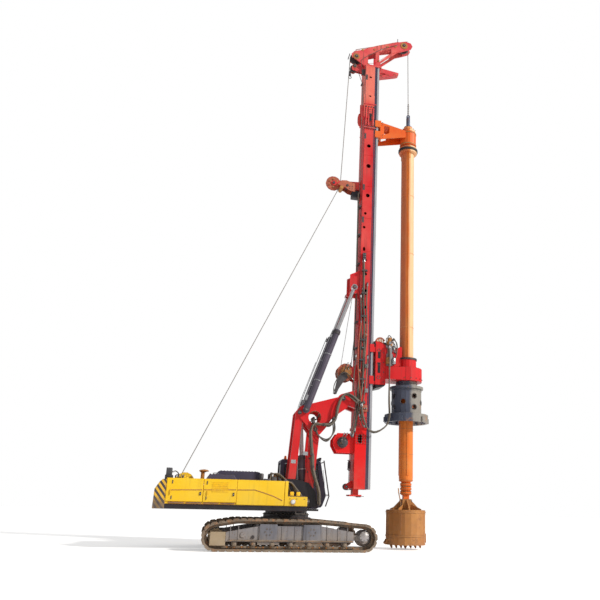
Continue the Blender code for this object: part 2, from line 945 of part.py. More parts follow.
def make_track(side_name, side):
    """The shoes as one plate round the loop, with a narrower belt of chain links inside it."""
    middle = side * track_gauge / 2
    low_y = middle - shoe_width / 2
    high_y = middle + shoe_width / 2
    web = loop_outline(pitch_offset + loop_web, loop_arc_steps)
    chain = loop_outline(link_offset, loop_arc_steps)
    plate = side_plate(shoe_outline(), low_y, high_y, [web])
    shape = bmesh.new()
    shape.from_mesh(plate.data)
    bpy.data.objects.remove(plate, do_unlink=True)
    inner = {(round(x, 3), round(z, 3)) for x, z in web}
    wall = [
        face
        for face in shape.faces
        if abs(face.normal.y) < 0.5 and all(
            (round(v.co.x, 3), round(v.co.z, 3)) in inner for v in face.verts
        )
    ]
    bmesh.ops.delete(shape, geom=wall, context="FACES")
    levels = (
        (web, low_y),
        (web, middle - link_width / 2),
        (chain, middle - link_width / 2),
        (chain, middle + link_width / 2),
        (web, middle + link_width / 2),
        (web, high_y),
    )
    rings = [[shape.verts.new((x, y, z)) for x, z in outline] for outline, y in levels]
    for near, far in zip(rings, rings[1:]):
        for i, vert in enumerate(near):
            shape.faces.new((vert, near[i - 1], far[i - 1], far[i]))
    bmesh.ops.remove_doubles(shape, verts=shape.verts, dist=weld_distance)
    part(from_bmesh(shape), "track_" + side_name, "track_steel", "rig_origin")


frame_length = frame_front_x - frame_rear_x
frame_height = frame_top_z - frame_bottom_z
end_x = track_length / 2 - end_radius
wheel_radius = (end_radius - link_offset) * wheel_fit_share
roller_z = link_offset + seat + roller_radius
carrier_z = track_height - link_offset - seat - carrier_radius


def idler_wheel(middle):
    half = wheel_reach - running_gap
    groove = half * idler_groove_share
    profile = (
        (0, half),
        (wheel_radius - idler_groove * 2, half),
        (wheel_radius - idler_groove, groove),
        (wheel_radius, groove),
        (wheel_radius, -groove),
        (wheel_radius - idler_groove, -groove),
        (wheel_radius - idler_groove * 2, -half),
        (0, -half),
    )
    return turned(
        profile, Matrix.Translation((end_x, middle, end_radius)) @ Matrix.Rotation(-math.pi / 2, 4, "X")
    )


def make_track_frame(side_name, side):
    middle = side * track_gauge / 2
    outer_y = middle + side * frame_outer_reach
    inner_y = middle - side * frame_inner_reach
    outline = placed(frame_outline_share, (frame_rear_x, frame_bottom_z), frame_length, frame_height)
    frame = side_plate(outline, min(outer_y, inner_y), max(outer_y, inner_y))
    tools = []
    for i in range(roller_count):
        x = roller_rear_x + (roller_front_x - roller_rear_x) * i / (roller_count - 1)
        ends = ((x, middle - roller_reach, roller_z), (x, middle + roller_reach, roller_z))
        tools.append(rod(*ends, roller_radius, roller_sides))
    for x in carrier_x:
        reach = roller_reach
        ends = ((x, middle - reach, carrier_z), (x, middle + reach, carrier_z))
        tools.append(rod(*ends, carrier_radius, roller_sides))
    for x in beam_x:
        low, high = sorted((outer_y - side * merge_depth, outer_y + side * beam_cap_thickness))
        cap_bottom = frame_bottom_z + merge_depth
        cap_top = frame_top_z - merge_depth
        tools.append(block((x - beam_width / 2, low, cap_bottom), (x + beam_width / 2, high, cap_top)))
    low, high = sorted((outer_y - side * guard_size[1], outer_y - side * merge_depth))
    guard_top = frame_bottom_z + merge_depth
    half = guard_size[0] / 2
    tools.append(
        block((guard_x - half, low, frame_bottom_z - guard_size[2]), (guard_x + half, high, guard_top))
    )
    for reach in (-1, 1):
        near = middle + reach * wheel_reach
        far = near + reach * fork_thickness
        low, high = sorted((near, far))
        fork = bar_outline(
            (frame_front_x - fork_height, end_radius), (end_x, end_radius), fork_height / 2, fork_height / 2
        )
        tools.append(side_plate(fork, low, high))
    face = middle + side * (wheel_reach + fork_thickness)
    tools.append(idler_wheel(middle))
    tools.append(
        rod(
            (end_x, middle - side * wheel_reach, end_radius),
            (end_x, face, end_radius),
            fork_height / 3,
            pin_sides,
        )
    )
    tools.append(
        rod(
            (end_x, face - side * merge_depth, end_radius),
            (end_x, face + side * hub_disc_thickness, end_radius),
            hub_disc_radius,
            round_sides,
        )
    )
    drive_arm_face = inner_y + side * fork_thickness * 2
    low, high = sorted((inner_y + side * merge_depth / 2, drive_arm_face))
    arm = bar_outline(
        (frame_rear_x + fork_height, end_radius), (-end_x, end_radius), fork_height, fork_height
    )
    tools.append(side_plate(arm, low, high))
    tools.append(
        rod(
            (-end_x, inner_y + side * merge_depth, end_radius),
            (-end_x, inner_y - side * motor_length, end_radius),
            motor_radius,
            round_sides,
        )
    )
    part(fuse(frame, *tools), "track_frame_" + side_name, "frame_grey", "rig_origin")


def sprocket_plate(middle):
    outline = []
    for i in range(sprocket_teeth):
        for share, radius in ((-0.2, wheel_radius), (0.2, wheel_radius - sprocket_tooth)):
            angle = 2 * math.pi * (i + share) / sprocket_teeth
            outline.append((-end_x + radius * math.cos(angle), end_radius + radius * math.sin(angle)))
    return side_plate(outline, middle - fork_thickness, middle + fork_thickness)


def make_final_drive(side_name, side):
    middle = side * track_gauge / 2
    arm_face = middle - side * (frame_inner_reach - fork_thickness * 2)
    cover_face = middle + side * (frame_outer_reach - drive_cover_thickness)
    hub = rod(
        (-end_x, arm_face + side * seat, end_radius),
        (-end_x, cover_face + side * merge_depth, end_radius),
        hub_radius,
        round_sides,
    )
    low, high = sorted((cover_face, middle + side * frame_outer_reach))
    rear_x = frame_rear_x - seat - drive_cover_length
    half = drive_cover_height / 2
    cover = bevelled(
        block(
            (rear_x, low, drive_cover_z - half), (frame_rear_x - seat, high, drive_cover_z + half)
        ), panel_bevel
    )
    part(fuse(hub, cover, sprocket_plate(middle)), "final_drive_" + side_name, "rust", "rig_origin")


def make_car_body():
    half = centre_box_half
    corner = centre_box_corner
    outline = (
        (half, corner),
        (corner, half),
        (-corner, half),
        (-half, corner),
        (-half, -corner),
        (-corner, -half),
        (corner, -half),
        (half, -corner),
    )
    body = deck_shape(outline, centre_box_bottom_z, centre_box_top_z)
    reach = track_gauge / 2 - frame_inner_reach - seat
    beams = [
        block(
            (x - beam_width / 2, -reach, beam_bottom_z), (x + beam_width / 2, reach, beam_top_z)
        ) for x in beam_x
    ]
    race = rod((0, 0, centre_box_top_z - merge_depth), (0, 0, slew_split_z), slew_lower_radius, round_sides)
    part(fuse(body, race, *beams), "car_body", "dark_paint", "rig_origin")


for side_name, side in SIDES:
    make_track(side_name, side)
    make_track_frame(side_name, side)
    make_final_drive(side_name, side)
make_car_body()


# Turntable: deck, rims, spines, the boom brackets and the upper slew race
def bracket_outline():
    return placed(
        bracket_outline_share, (0, deck_top_z - merge_depth), bracket_reach_x, bracket_top_z - deck_top_z
    )


def winch_cheek_shapes():
    """The two cheeks that carry the main winch on the deck."""
    height = winch_z + winch_flange_radius / 2 - deck_top_z
    outline = placed(
        winch_plate_outline_share, (winch_x, deck_top_z - merge_depth), winch_flange_radius, height
    )
    bore = bore_points((winch_x, winch_z), winch_shaft_radius, round_sides, 0)
    near = winch_half_length + running_gap
    return [side_plate(outline, *sided(side, near, near + winch_plate), [bore]) for side in side_signs]


def make_turntable():
    plate_low = deck_top_z - deck_plate
    right = -deck_half_width
    left = deck_half_width
    outline = (
        (deck_rear_x, right),
        (deck_front_x, right),
        (deck_front_x, cab_inner_y - rim_width),
        (cab_rear_x - rim_width, cab_inner_y - rim_width),
        (cab_rear_x - rim_width, left),
        (deck_rear_x, left),
    )
    deck = deck_shape(outline, plate_low, deck_top_z)
    tools = []
    for side in side_signs:
        low, high = sided(side, deck_half_width - rim_width, deck_half_width)
        front = deck_front_x if side < 0 else platform_front_x
        top = plate_low + merge_depth if side < 0 else platform_top_z - merge_depth
        tools.append(block((deck_rear_x, low, deck_bottom_z), (front, high, top)))
        low, high = sided(side, spine_half_gap - spine_width, spine_half_gap)
        tools.append(
            block((deck_rear_x, low, deck_bottom_z), (deck_front_x, high, plate_low + merge_depth))
        )
        for y in (inner_plate_y, outer_plate_y):
            low, high = sided(side, y, y + plate_thickness)
            tools.append(side_plate(bracket_outline(), low, high))
        low, high = sided(side, inner_plate_y + merge_depth, outer_face_y - merge_depth)
        tools.append(rod(at(link_foot, low), at(link_foot, high), pin_radius))
        tools.append(rod(at(boom_foot, low), at(boom_foot, high), boom_pin_radius))
    tools.append(
        block(
            (cab_rear_x - rim_width * 2, spine_half_gap - spine_width / 2, deck_bottom_z + merge_depth / 2),
            (platform_front_x, deck_half_width - merge_depth / 2, platform_top_z),
        )
    )
    tools.append(
        rod(
            (0, 0, slew_split_z + seat),
            (0, 0, deck_bottom_z + merge_depth),
            slew_upper_radius,
            round_sides,
        )
    )
    ring_half = slew_upper_radius
    tools.append(
        block(
            (-ring_half, -ring_half, deck_bottom_z),
            (ring_half * nose_deck_share, cab_inner_y - seat, plate_low + merge_depth),
        )
    )
    reach = inner_plate_y + merge_depth
    tools.append(rod(at(lift_foot, -reach), at(lift_foot, reach), pin_radius))
    tools += winch_cheek_shapes()
    part(fuse(deck, *tools), "turntable", "black_steel", "slew_pivot")


def make_counterweight():
    front_x = deck_rear_x - seat
    outline = placed(
        weight_outline_share, (
            weight_rear_x, weight_bottom_z
        ), front_x - weight_rear_x, weight_top_z - weight_bottom_z
    )
    weight = bevelled(side_plate(outline, -weight_half_width, weight_half_width), weight_bevel)
    part(weight, "counterweight", "yellow_paint", "slew_pivot")


make_turntable()
make_counterweight()


# House: a roof and two cross walls round the engine, with the winch bay behind them
deck_floor_z = deck_top_z + seat
door_inner_y = skin_y - skin


def make_house():
    inner = door_inner_y - seat
    rear_x = deck_rear_x
    roof = block((winch_bay_front_x, -inner, house_top_z - house_wall), (house_front_x, inner, house_top_z))
    walls = []
    for low_x in (winch_bay_front_x, house_front_x - house_wall):
        walls.append(
            block(
                (low_x, -inner, deck_floor_z),
                (low_x + house_wall, inner, house_top_z - house_wall + merge_depth),
            )
        )
    walls.append(
        block((rear_x, -inner, deck_floor_z), (rear_x + house_wall, inner, house_top_z - house_wall))
    )
    for side in side_signs:
        low, high = sided(side, inner - rim_width, inner)
        walls.append(block((rear_x, low, house_top_z - house_wall * 2), (house_front_x, high, house_top_z)))
        walls.append(block((rear_x, low, deck_floor_z), (house_front_x, high, door_bottom_z)))
    part(fuse(roof, *walls), "house", "yellow_paint", "slew_pivot")


def make_exhaust():
    flue = rod(
        (
            exhaust_x, exhaust_y, house_top_z + seat
        ), (exhaust_x, exhaust_y, exhaust_top_z), exhaust_radius, 12
    )
    cap = rod(
        (exhaust_x, exhaust_y, exhaust_top_z - merge_depth),
        (exhaust_x, exhaust_y, exhaust_top_z + exhaust_cap_height),
        exhaust_cap_radius,
        pin_sides,
        exhaust_cap_radius * cap_rim_share,
    )
    part(fuse(flue, cap), "exhaust", "rust", "slew_pivot")


def make_engine():
    half_x = engine_size[0] / 2
    half_y = engine_size[1] / 2
    top = deck_floor_z + engine_size[2]
    engine = block((engine_x - half_x, -half_y, deck_floor_z), (engine_x + half_x, half_y, top))
    part(bevelled(engine, panel_bevel * 2), "engine", "frame_grey", "slew_pivot")


# Side doors: (name, rear x, front x) on each side, hinged at their front edge
door_table = (
    ("rear_door", deck_rear_x + door_seam / 2, door_split_x - door_seam / 2),
    ("engine_door", door_split_x + door_seam / 2, house_front_x - door_seam / 2),
)
door_top_z = house_top_z


def louvres(rear_x, front_x, face, side):
    """Horizontal bars that stand on the outside of a door."""
    middle = (rear_x + front_x) / 2
    low, high = sorted((face - side * merge_depth, face + side * louvre_depth))
    bars = []
    for i in range(louvre_count):
        z = door_top_z - louvre_step * (i + 2)
        bars.append(
            block(
                (middle - louvre_length / 2, low, z), (middle + louvre_length / 2, high, z + louvre_height)
            )
        )
    return bars


def door_handle(x, z, face, side):
    """A grab handle that stands off the face of a panel: a bar on two short legs."""
    back = face - side * handle_radius
    out = face + side * handle_stand
    half = handle_length / 2
    low, high = sorted((out - side * handle_radius, out + side * handle_radius))
    shapes = [block((x - handle_radius, low, z - half), (x + handle_radius, high, z + half))]
    low, high = sorted((back, out))
    for end in (-half + handle_radius, half - handle_radius):
        leg_low = z + end - handle_radius / 2
        shapes.append(
            block(
                (x - handle_radius / 2, low, leg_low),
                (x + handle_radius / 2, high, leg_low + handle_radius),
            )
        )
    return shapes


def make_doors():
    for side_name, side in SIDES:
        for name, rear_x, front_x in door_table:
            low, high = sided(side, door_inner_y, skin_y)
            door = bevelled(block((rear_x, low, door_bottom_z), (front_x, high, door_top_z)), panel_bevel)
            face = side * skin_y
            tools = door_handle(rear_x + handle_length, door_bottom_z + handle_length * 2, face, side)
            if name == "engine_door":
                tools += louvres(rear_x, front_x, face, side)
            hinge = pivot(
                name + "_" + side_name + "_pivot", (front_x, side * skin_y, door_bottom_z), "slew_pivot"
            )
            part(fuse(door, *tools), name + "_" + side_name, "yellow_paint", hinge)


def make_tank():
    low = (house_front_x + seat, -skin_y, deck_floor_z)
    high = (tank_front_x, -tank_inner_y, house_top_z)
    tank = bevelled(block(low, high), panel_bevel)
    hollow = block(
        (low[0] + house_wall, low[1] + house_wall, low[2] - overrun),
        (high[0] - house_wall, high[1] - house_wall, high[2] - house_wall),
    )
    cap_x = tank_front_x - tank_cap_radius * 3
    cap_y = -tank_inner_y - tank_cap_radius * 2
    filler = rod(
        (cap_x, cap_y, house_top_z - merge_depth),
        (cap_x, cap_y, house_top_z + tank_cap_height),
        tank_cap_radius,
    )
    part(fuse(cut(tank, hollow), filler), "tank", "yellow_paint", "slew_pivot")


def make_valve_cover():
    low = (house_front_x + seat, tank_inner_y, deck_floor_z)
    high = (cab_rear_x - rim_width * 2 - seat, skin_y, house_top_z)
    cover = bevelled(block(low, high), panel_bevel)
    hollow = block(
        (low[0] + house_wall, low[1] + house_wall, low[2] - overrun),
        (high[0] - house_wall, high[1] - house_wall, high[2] - house_wall),
    )
    part(cut(cover, hollow), "valve_cover", "yellow_paint", "slew_pivot")


def make_nose():
    rear_x = tank_front_x + door_seam
    outline = (
        (rear_x, deck_floor_z),
        (nose_front_x, deck_floor_z),
        (nose_front_x, nose_top_z),
        (nose_pillar_x, nose_top_z),
        (nose_pillar_x, house_top_z),
        (rear_x, house_top_z),
    )
    nose = bevelled(side_plate(outline, -skin_y, -tank_inner_y), panel_bevel)
    lamp = rod(
        (lamp_x, merge_depth - skin_y, lamp_z),
        (lamp_x, -skin_y - lamp_depth, lamp_z),
        lamp_radius,
        pin_sides,
        lamp_radius * lamp_lens_share,
    )
    part(fuse(nose, lamp), "tool_box", "yellow_paint", "slew_pivot")


def make_hoods():
    x_low, x_high = hood_x
    foot = house_top_z + seat
    outline = (
        (x_low, foot),
        (x_high, foot),
        (x_high - hood_slope, foot + hood_height),
        (x_low + hood_slope, foot + hood_height),
    )
    hinge = pivot("engine_hood_pivot", (hood_x[0], hood_y[1], foot), "slew_pivot")
    part(bevelled(side_plate(outline, *hood_y), panel_bevel), "engine_hood", "dark_paint", hinge)
    x_low, x_high = air_box_x
    top = foot + air_box_height
    corner = air_box_corner
    outline = [(x_low, foot), (x_high, foot)]
    outline += arc_points((x_high - corner, top - corner), corner, 0, 90, 4)
    outline += arc_points((x_low + corner, top - corner), corner, 90, 180, 4)
    part(bevelled(side_plate(outline, *air_box_y), panel_bevel), "air_box", "dark_paint", "slew_pivot")


make_house()
make_exhaust()
make_engine()
make_doors()
make_tank()
make_valve_cover()
make_nose()
make_hoods()


# Main winch on the deck behind the engine
def y_axis(x, y, z):
    """The place of a turned piece whose axis runs across the machine."""
    return Matrix.Translation((x, y, z)) @ Matrix.Rotation(-math.pi / 2, 4, "X")


def drum_profile(half, core, flange_radius, shaft, shaft_half):
    """A winch drum from its left end down: shaft, flange, core, flange, shaft."""
    inner = half - winch_flange
    return (
        (0, shaft_half),
        (shaft, shaft_half),
        (shaft, half),
        (flange_radius, half),
        (flange_radius, inner),
        (core, inner),
        (core, -inner),
        (flange_radius, -inner),
        (flange_radius, -half),
        (shaft, -half),
        (shaft, -shaft_half),
        (0, -shaft_half),
    )


def make_main_winch():
    reach = winch_half_length + running_gap + winch_plate
    profile = drum_profile(
        winch_half_length, winch_drum_radius, winch_flange_radius, winch_shaft_radius, reach
    )
    part(
        turned(profile, y_axis(winch_x, 0, winch_z), round_sides),
        "main_winch",
        "yellow_paint",
        "main_winch_pivot",
    )


make_main_winch()


# Cab: shell with window openings, door on the left, seat, console and panes
cab_height = cab_top_z - cab_bottom_z


def make_cab():
    outline = placed(cab_outline_share, (cab_rear_x, cab_bottom_z), cab_length, cab_height)
    shell = side_plate(outline, cab_inner_y, cab_outer_y)
    wall = cab_wall
    inset = placed(
        cab_outline_share, (
            cab_rear_x + wall, cab_bottom_z + wall
        ), cab_length - 2 * wall, cab_height - 2 * wall
    )
    inside = side_plate(inset, cab_inner_y + wall, cab_outer_y - wall)
    sill = cab_bottom_z + cab_height * cab_window_sill_share
    head = cab_bottom_z + cab_height * cab_window_head_share
    post = cab_post
    front = block(
        (
            cab_rear_x + cab_length * floor_nose_share,
            cab_inner_y + post,
            cab_bottom_z + cab_height * toe_height_share,
        ),
        (cab_rear_x + cab_length + overrun, cab_outer_y - post, head - wall),
    )
    rear = block(
        (cab_rear_x - overrun, cab_inner_y + post, sill), (
            cab_rear_x + wall * cut_reach_share, cab_outer_y - post, head
        )
    )
    right = side_plate(
        (
            (cab_rear_x + post * 1.6, sill),
            (cab_rear_x + cab_length * 0.86, sill),
            (cab_rear_x + cab_length * 0.79, head),
            (cab_rear_x + post * 1.6, head),
        ),
        cab_inner_y - overrun,
        cab_inner_y + wall * cut_reach_share,
    )
    roof = block(
        (
            cab_rear_x + cab_length * roof_window_rear_share,
            cab_inner_y + post * 2,
            cab_top_z - wall * cut_reach_share,
        ),
        (cab_rear_x + cab_length * roof_window_front_share, cab_outer_y - post * 2, cab_top_z + overrun),
    )
    doorway = block(
        (cab_door_x[0], cab_outer_y - wall * cut_reach_share, cab_door_bottom_z),
        (cab_door_x[1], cab_outer_y + overrun, cab_door_top_z),
    )
    part(cut(shell, inside, front, rear, right, roof, doorway), "cab_shell", "dark_paint", "slew_pivot")


def make_cab_door():
    x_low = cab_door_x[0] + running_gap
    x_high = cab_door_x[1] - running_gap
    z_low = cab_door_bottom_z + running_gap
    z_high = cab_door_top_z - running_gap
    post = cab_post * door_post_share
    sill = cab_bottom_z + cab_height * cab_window_sill_share
    window = (
        (x_low + post, sill),
        (x_high - post, sill),
        (x_high - post, z_high - post),
        (x_low + post, z_high - post),
    )
    outline = ((x_low, z_low), (x_high, z_low), (x_high, z_high), (x_low, z_high))
    y_high = cab_outer_y
    y_low = cab_outer_y - cab_wall + seat
    door = side_plate(outline, y_low, y_high, [window])
    tools = door_handle(x_high - post / 2, sill - handle_length, y_high, 1)
    hinge_x = cab_door_x[0]
    hinge_y = y_high + seat + cab_hinge_radius
    for z in (z_low + cab_hinge_length, z_high - cab_hinge_length * 2):
        top = z + cab_hinge_length
        tools.append(rod((hinge_x, hinge_y, z), (hinge_x, hinge_y, top), cab_hinge_radius, roller_sides))
        leaf_low = (hinge_x, y_high + seat, z + merge_depth / 4)
        leaf_high = (x_low + cab_post / 2, hinge_y, top - merge_depth / 4)
        tools.append(block(leaf_low, leaf_high))
        root_low = (x_low + merge_depth / 4, y_high - merge_depth, z + merge_depth / 2)
        root_high = (x_low + cab_post / 3, hinge_y - cab_hinge_radius / 2, top - merge_depth / 2)
        tools.append(block(root_low, root_high))
    hinge = pivot("cab_door_pivot", (hinge_x, hinge_y, z_low), "slew_pivot")
    part(fuse(door, *tools), "cab_door", "dark_paint", hinge)


def make_cab_inside():
    floor = cab_bottom_z + cab_wall + seat
    middle = (cab_inner_y + cab_outer_y) / 2
    length, width, thickness = cab_seat_size
    half = width / 2
    cushion_z = floor + cab_seat_height
    cushion = block(
        (
            cab_seat_x - length / 2, middle - half, cushion_z - thickness
        ), (cab_seat_x + length / 2, middle + half, cushion_z)
    )
    back = block(
        (cab_seat_x - length / 2 - cab_seat_back + merge_depth, middle - half, cushion_z - thickness),
        (cab_seat_x - length / 2 + merge_depth, middle + half, cushion_z + cab_seat_back_height),
    )
    base = block(
        (cab_seat_x - length / 3, middle - half * cushion_share, floor),
        (cab_seat_x + length / 3, middle + half * cushion_share, cushion_z - thickness + merge_depth),
    )
    part(
        fuse(bevelled(cushion, panel_bevel), bevelled(back, panel_bevel), base),
        "cab_seat",
        "seat_fabric",
        "slew_pivot",
    )


make_cab()
make_cab_door()
make_cab_inside()


# Front linkage
def lug_pair(outline, side, holes=()):
    """The inner and the outer plate of one side."""
    return [
        side_plate(outline, *sided(side, inner_plate_y, inner_plate_y + plate_thickness), holes),
        side_plate(outline, *sided(side, outer_plate_y, outer_face_y), holes),
    ]


def make_boom():
    arms = []
    for side in side_signs:
        bores = [bore_points(boom_foot, boom_pin_radius), bore_points(boom_top, boom_pin_radius)]
        outline = bar_outline(boom_foot, boom_top, boom_eye_radius * boom_foot_share, boom_eye_radius)
        arms.append(side_plate(outline, *sided(side, arm_low_y, arm_high_y), bores))
    middle = boom_foot + (boom_top - boom_foot) * arm_cross_share
    reach = arm_low_y + merge_depth
    cross = rod(at(middle, -reach), at(middle, reach), arm_cross_radius)
    part(fuse(arms[0], arms[1], cross), "boom", "red_paint", "boom_pivot")


def make_rear_link():
    bores = [bore_points(link_foot, pin_radius), bore_points(link_top, pin_radius)]
    outline = bar_outline(link_foot, link_top, eye_radius, eye_radius)
    arms = [side_plate(outline, *sided(side, arm_low_y, arm_high_y), bores) for side in side_signs]
    middle = (link_foot + link_top) / 2
    reach = arm_low_y + merge_depth
    cross = rod(at(middle, -reach), at(middle, reach), link_cross_radius)
    part(fuse(arms[0], arms[1], cross), "rear_link", "red_paint", "link_pivot")


def make_triangle():
    outline = placed(triangle_outline_share, triangle_origin, triangle_length, triangle_height)
    plates = []
    hole = ring_points(triangle_hole, triangle_hole_radius, triangle_hole_sides)
    rim = ring_points(triangle_hole, triangle_hole_radius + triangle_hole_wall, triangle_hole_sides)
    for side in side_signs:
        plates += lug_pair(outline, side, [hole])
        low, high = sided(side, inner_plate_y + merge_depth, outer_face_y - merge_depth)
        plates.append(side_plate(rim, low, high, [hole]))
        plates.append(rod(at(link_top, low), at(link_top, high), pin_radius))
        plates.append(rod(at(boom_top, low), at(boom_top, high), boom_pin_radius))
        plates.append(rod(at(mast_pivot, low), at(mast_pivot, high), boom_pin_radius))
        low, high = sided(side, outer_face_y - merge_depth, outer_face_y + boom_boss_depth)
        plates.append(rod(at(boom_top, low), at(boom_top, high), boom_boss_radius, round_sides))
        low, high = sided(side, outer_face_y - merge_depth, stay_y + stay_eye_width * stay_reach_share)
        plates.append(rod(at(stay_foot, low), at(stay_foot, high), pin_radius))
    box = block(
        (triangle_box_x[0], merge_depth - outer_face_y, triangle_box_z[0]),
        (triangle_box_x[1], outer_face_y - merge_depth, triangle_box_z[1]),
    )
    reach = inner_plate_y + merge_depth
    eye_pin = rod(at(lift_eye, -reach), at(lift_eye, reach), pin_radius)
    part(fuse(plates[0], *plates[1:], box, eye_pin), "triangle", "red_paint", "triangle_pivot")


def cylinder_frame(foot, eye, y):
    """A matrix whose +Z runs from foot to eye in the plane y."""
    along = Vector(at(eye)) - Vector(at(foot))
    return Matrix.Translation(at(foot, y)) @ along.to_track_quat("Z", "Y").to_matrix().to_4x4()


def make_cylinder(prefix, foot, eye, y, side_name, sizes, bodies):
    """A hydraulic cylinder: its barrel with foot eye and gland, and its rod with an eye that has play."""
    barrel_radius, rod_radius, barrel_share, eye_width, foot_radius, rod_inset = sizes
    length = (eye - foot).length
    mouth = length * barrel_share
    frame = cylinder_frame(foot, eye, y)
    bore = rod_radius + seat
    floor = foot_radius * barrel_floor_share
    profile = (
        (0, floor),
        (bore, floor),
        (bore, mouth),
        (barrel_radius, mouth),
        (barrel_radius + gland_extra, mouth - gland_extra),
        (barrel_radius + gland_extra, mouth - gland_length),
        (barrel_radius, mouth - gland_length),
        (barrel_radius, foot_radius),
        (barrel_radius - gland_extra, foot_radius / 2),
        (0, foot_radius / 2),
    )
    barrel = turned(profile, frame, cylinder_sides)
    half = eye_width / 2
    foot_eye = side_plate(ring_points(foot, foot_radius, cylinder_sides), y - half, y + half)
    foot_bore = side_plate(bore_points(foot, pin_radius), y - half - overrun, y + half + overrun)
    part(
        cut(fuse(barrel, foot_eye), foot_bore), prefix + "_barrel_" + side_name, "cylinder_paint", bodies[0]
    )
    start = frame @ Vector((0, 0, floor + rod_inset))
    end = frame @ Vector((0, 0, length - pin_radius * 2))
    shaft = rod(start, end, rod_radius, cylinder_sides)
    head = side_plate(ring_points(eye, pin_radius + eye_play * 2, cylinder_sides), y - half, y + half)
    head_bore = side_plate(
        ring_points(eye, pin_radius + eye_play, cylinder_sides), y - half - overrun, y + half + overrun
    )
    part(cut(fuse(shaft, head), head_bore), prefix + "_rod_" + side_name, "chrome_rod", bodies[1])


def make_cylinders():
    lift_sizes = (
        lift_barrel_radius,
        lift_rod_radius,
        lift_barrel_share,
        lift_eye_width,
        lift_foot_eye_radius,
        lift_rod_inset,
    )
    stay_sizes = (
        stay_barrel_radius,
        stay_rod_radius,
        stay_barrel_share,
        stay_eye_width,
        stay_foot_eye_radius,
        stay_rod_inset,
    )
    for side_name, side in SIDES:
        make_cylinder(
            "lift", lift_foot, lift_eye, side * lift_y, side_name, lift_sizes, (
                "lift_pivot", "lift_rod_pivot"
            )
        )
        make_cylinder(
            "stay", stay_foot, stay_eye, side * stay_y, side_name, stay_sizes, (
                "stay_pivot", "stay_rod_pivot"
            )
        )


make_boom()
make_rear_link()
make_triangle()
make_cylinders()


# Mast: one outline in plan, drawn out over the three sections
def mast_outline():
    half = mast_half_width
    rail_low, rail_high = rail_y
    return (
        (mast_rear_x, -half),
        (mast_front_x, -half),
        (mast_front_x, -rail_high),
        (rail_front_x, -rail_high),
        (rail_front_x, -rail_low),
        (mast_front_x, -rail_low),
        (mast_front_x, rail_low),
        (rail_front_x, rail_low),
        (rail_front_x, rail_high),
        (mast_front_x, rail_high),
        (mast_front_x, half),
        (mast_rear_x, half),
    )


def mast_hollow():
    half = mast_half_width - mast_wall
    rear = mast_rear_x + mast_wall
    front = mast_front_x - mast_wall
    return ((rear, -half), (front, -half), (front, half), (rear, half))


def mast_section(z_low, z_high):
    return deck_shape(mast_outline(), z_low, z_high, [mast_hollow()])


def oval_points(hole):
    """The outline of a round or oval hole from its row of sizes."""
    x, z, half_width, half_height = hole
    around = ring_points((0, 0), 1, mast_hole_sides, 0.5)
    return [(x + u * half_width, z + v * half_height) for u, v in around]


def mast_hole_cutters(holes):
    reach = mast_half_width + flange_reach + overrun
    return [side_plate(oval_points(hole), -reach, reach) for hole in holes]


def mast_flange(z_low, z_high):
    """A bolting flange round the box at the end of a section, behind the rails."""
    half = mast_half_width + flange_reach
    rear = mast_rear_x - flange_reach
    outline = ((rear, -half), (mast_front_x, -half), (mast_front_x, half), (rear, half))
    return deck_shape(outline, z_low, z_high, [mast_hollow()])


def winch_cheeks(outline, x, z, near, plate_z):
    """Two cheeks with a bore for the drum's shaft, on a plate on the rear of the mast."""
    bore = bore_points((x, z), small_shaft_radius, round_sides, 0)
    shapes = []
    for side in side_signs:
        shapes.append(side_plate(outline, *sided(side, near, near + mast_winch_plate), [bore]))
    far = near + mast_winch_plate * 2
    z_low, z_high = plate_z
    shapes.append(
        block((mast_rear_x - mast_winch_plate, -far, z_low), (mast_rear_x + mast_wall / 2, far, z_high))
    )
    return shapes


def crowd_cheeks():
    z_low, z_high = crowd_frame_z
    outline = (
        (mast_rear_x - merge_depth, z_low),
        (mast_rear_x - merge_depth, z_high),
        (crowd_x - crowd_radius, z_high),
        (crowd_frame_x, crowd_z + crowd_radius / 2),
        (crowd_frame_x, crowd_z - crowd_radius / 2),
        (crowd_x - crowd_radius, z_low),
    )
    plate_z = (z_low - merge_depth, z_high + merge_depth)
    return winch_cheeks(outline, crowd_x, crowd_z, crowd_half_length + running_gap, plate_z)


def aux_cheeks():
    z_low, z_high = aux_plate_z
    outline = (
        (mast_rear_x - merge_depth, z_low),
        (mast_rear_x - merge_depth, z_high),
        (aux_x, aux_z + small_shaft_radius * 2),
        (aux_plate_x, aux_z),
        (aux_x, aux_z - small_shaft_radius * 2),
    )
    plate_z = (z_low - merge_depth, z_high + merge_depth)
    return winch_cheeks(outline, aux_x, aux_z, aux_half_length + running_gap, plate_z)


sheave_places = {name: (x, z, radius) for name, x, z, radius in sheaves}
cheek_low = sheave_width / 2 + running_gap
cheek_high = cheek_low + cheek_thickness


def sheave_pin(x, z, half):
    return rod((x, -half, z), (x, half, z), sheave_pin_radius, round_sides)


def foot_sheave_shapes():
    """The cheeks of the small sheave behind the foot of the mast."""
    x, z, radius = sheave_places["crowd_sheave"]
    rear = mast_rear_x + mast_wall / 2
    shapes = [sheave_pin(x, z, cheek_low + merge_depth)]
    for side in side_signs:
        outline = [(rear, z - sheave_pin_radius), (rear, z + radius * 2)]
        outline += arc_points((x, z), sheave_pin_radius * sheave_cheek_share, 120, 270)
        shapes.append(side_plate(outline, *sided(side, cheek_low, cheek_high)))
    return shapes


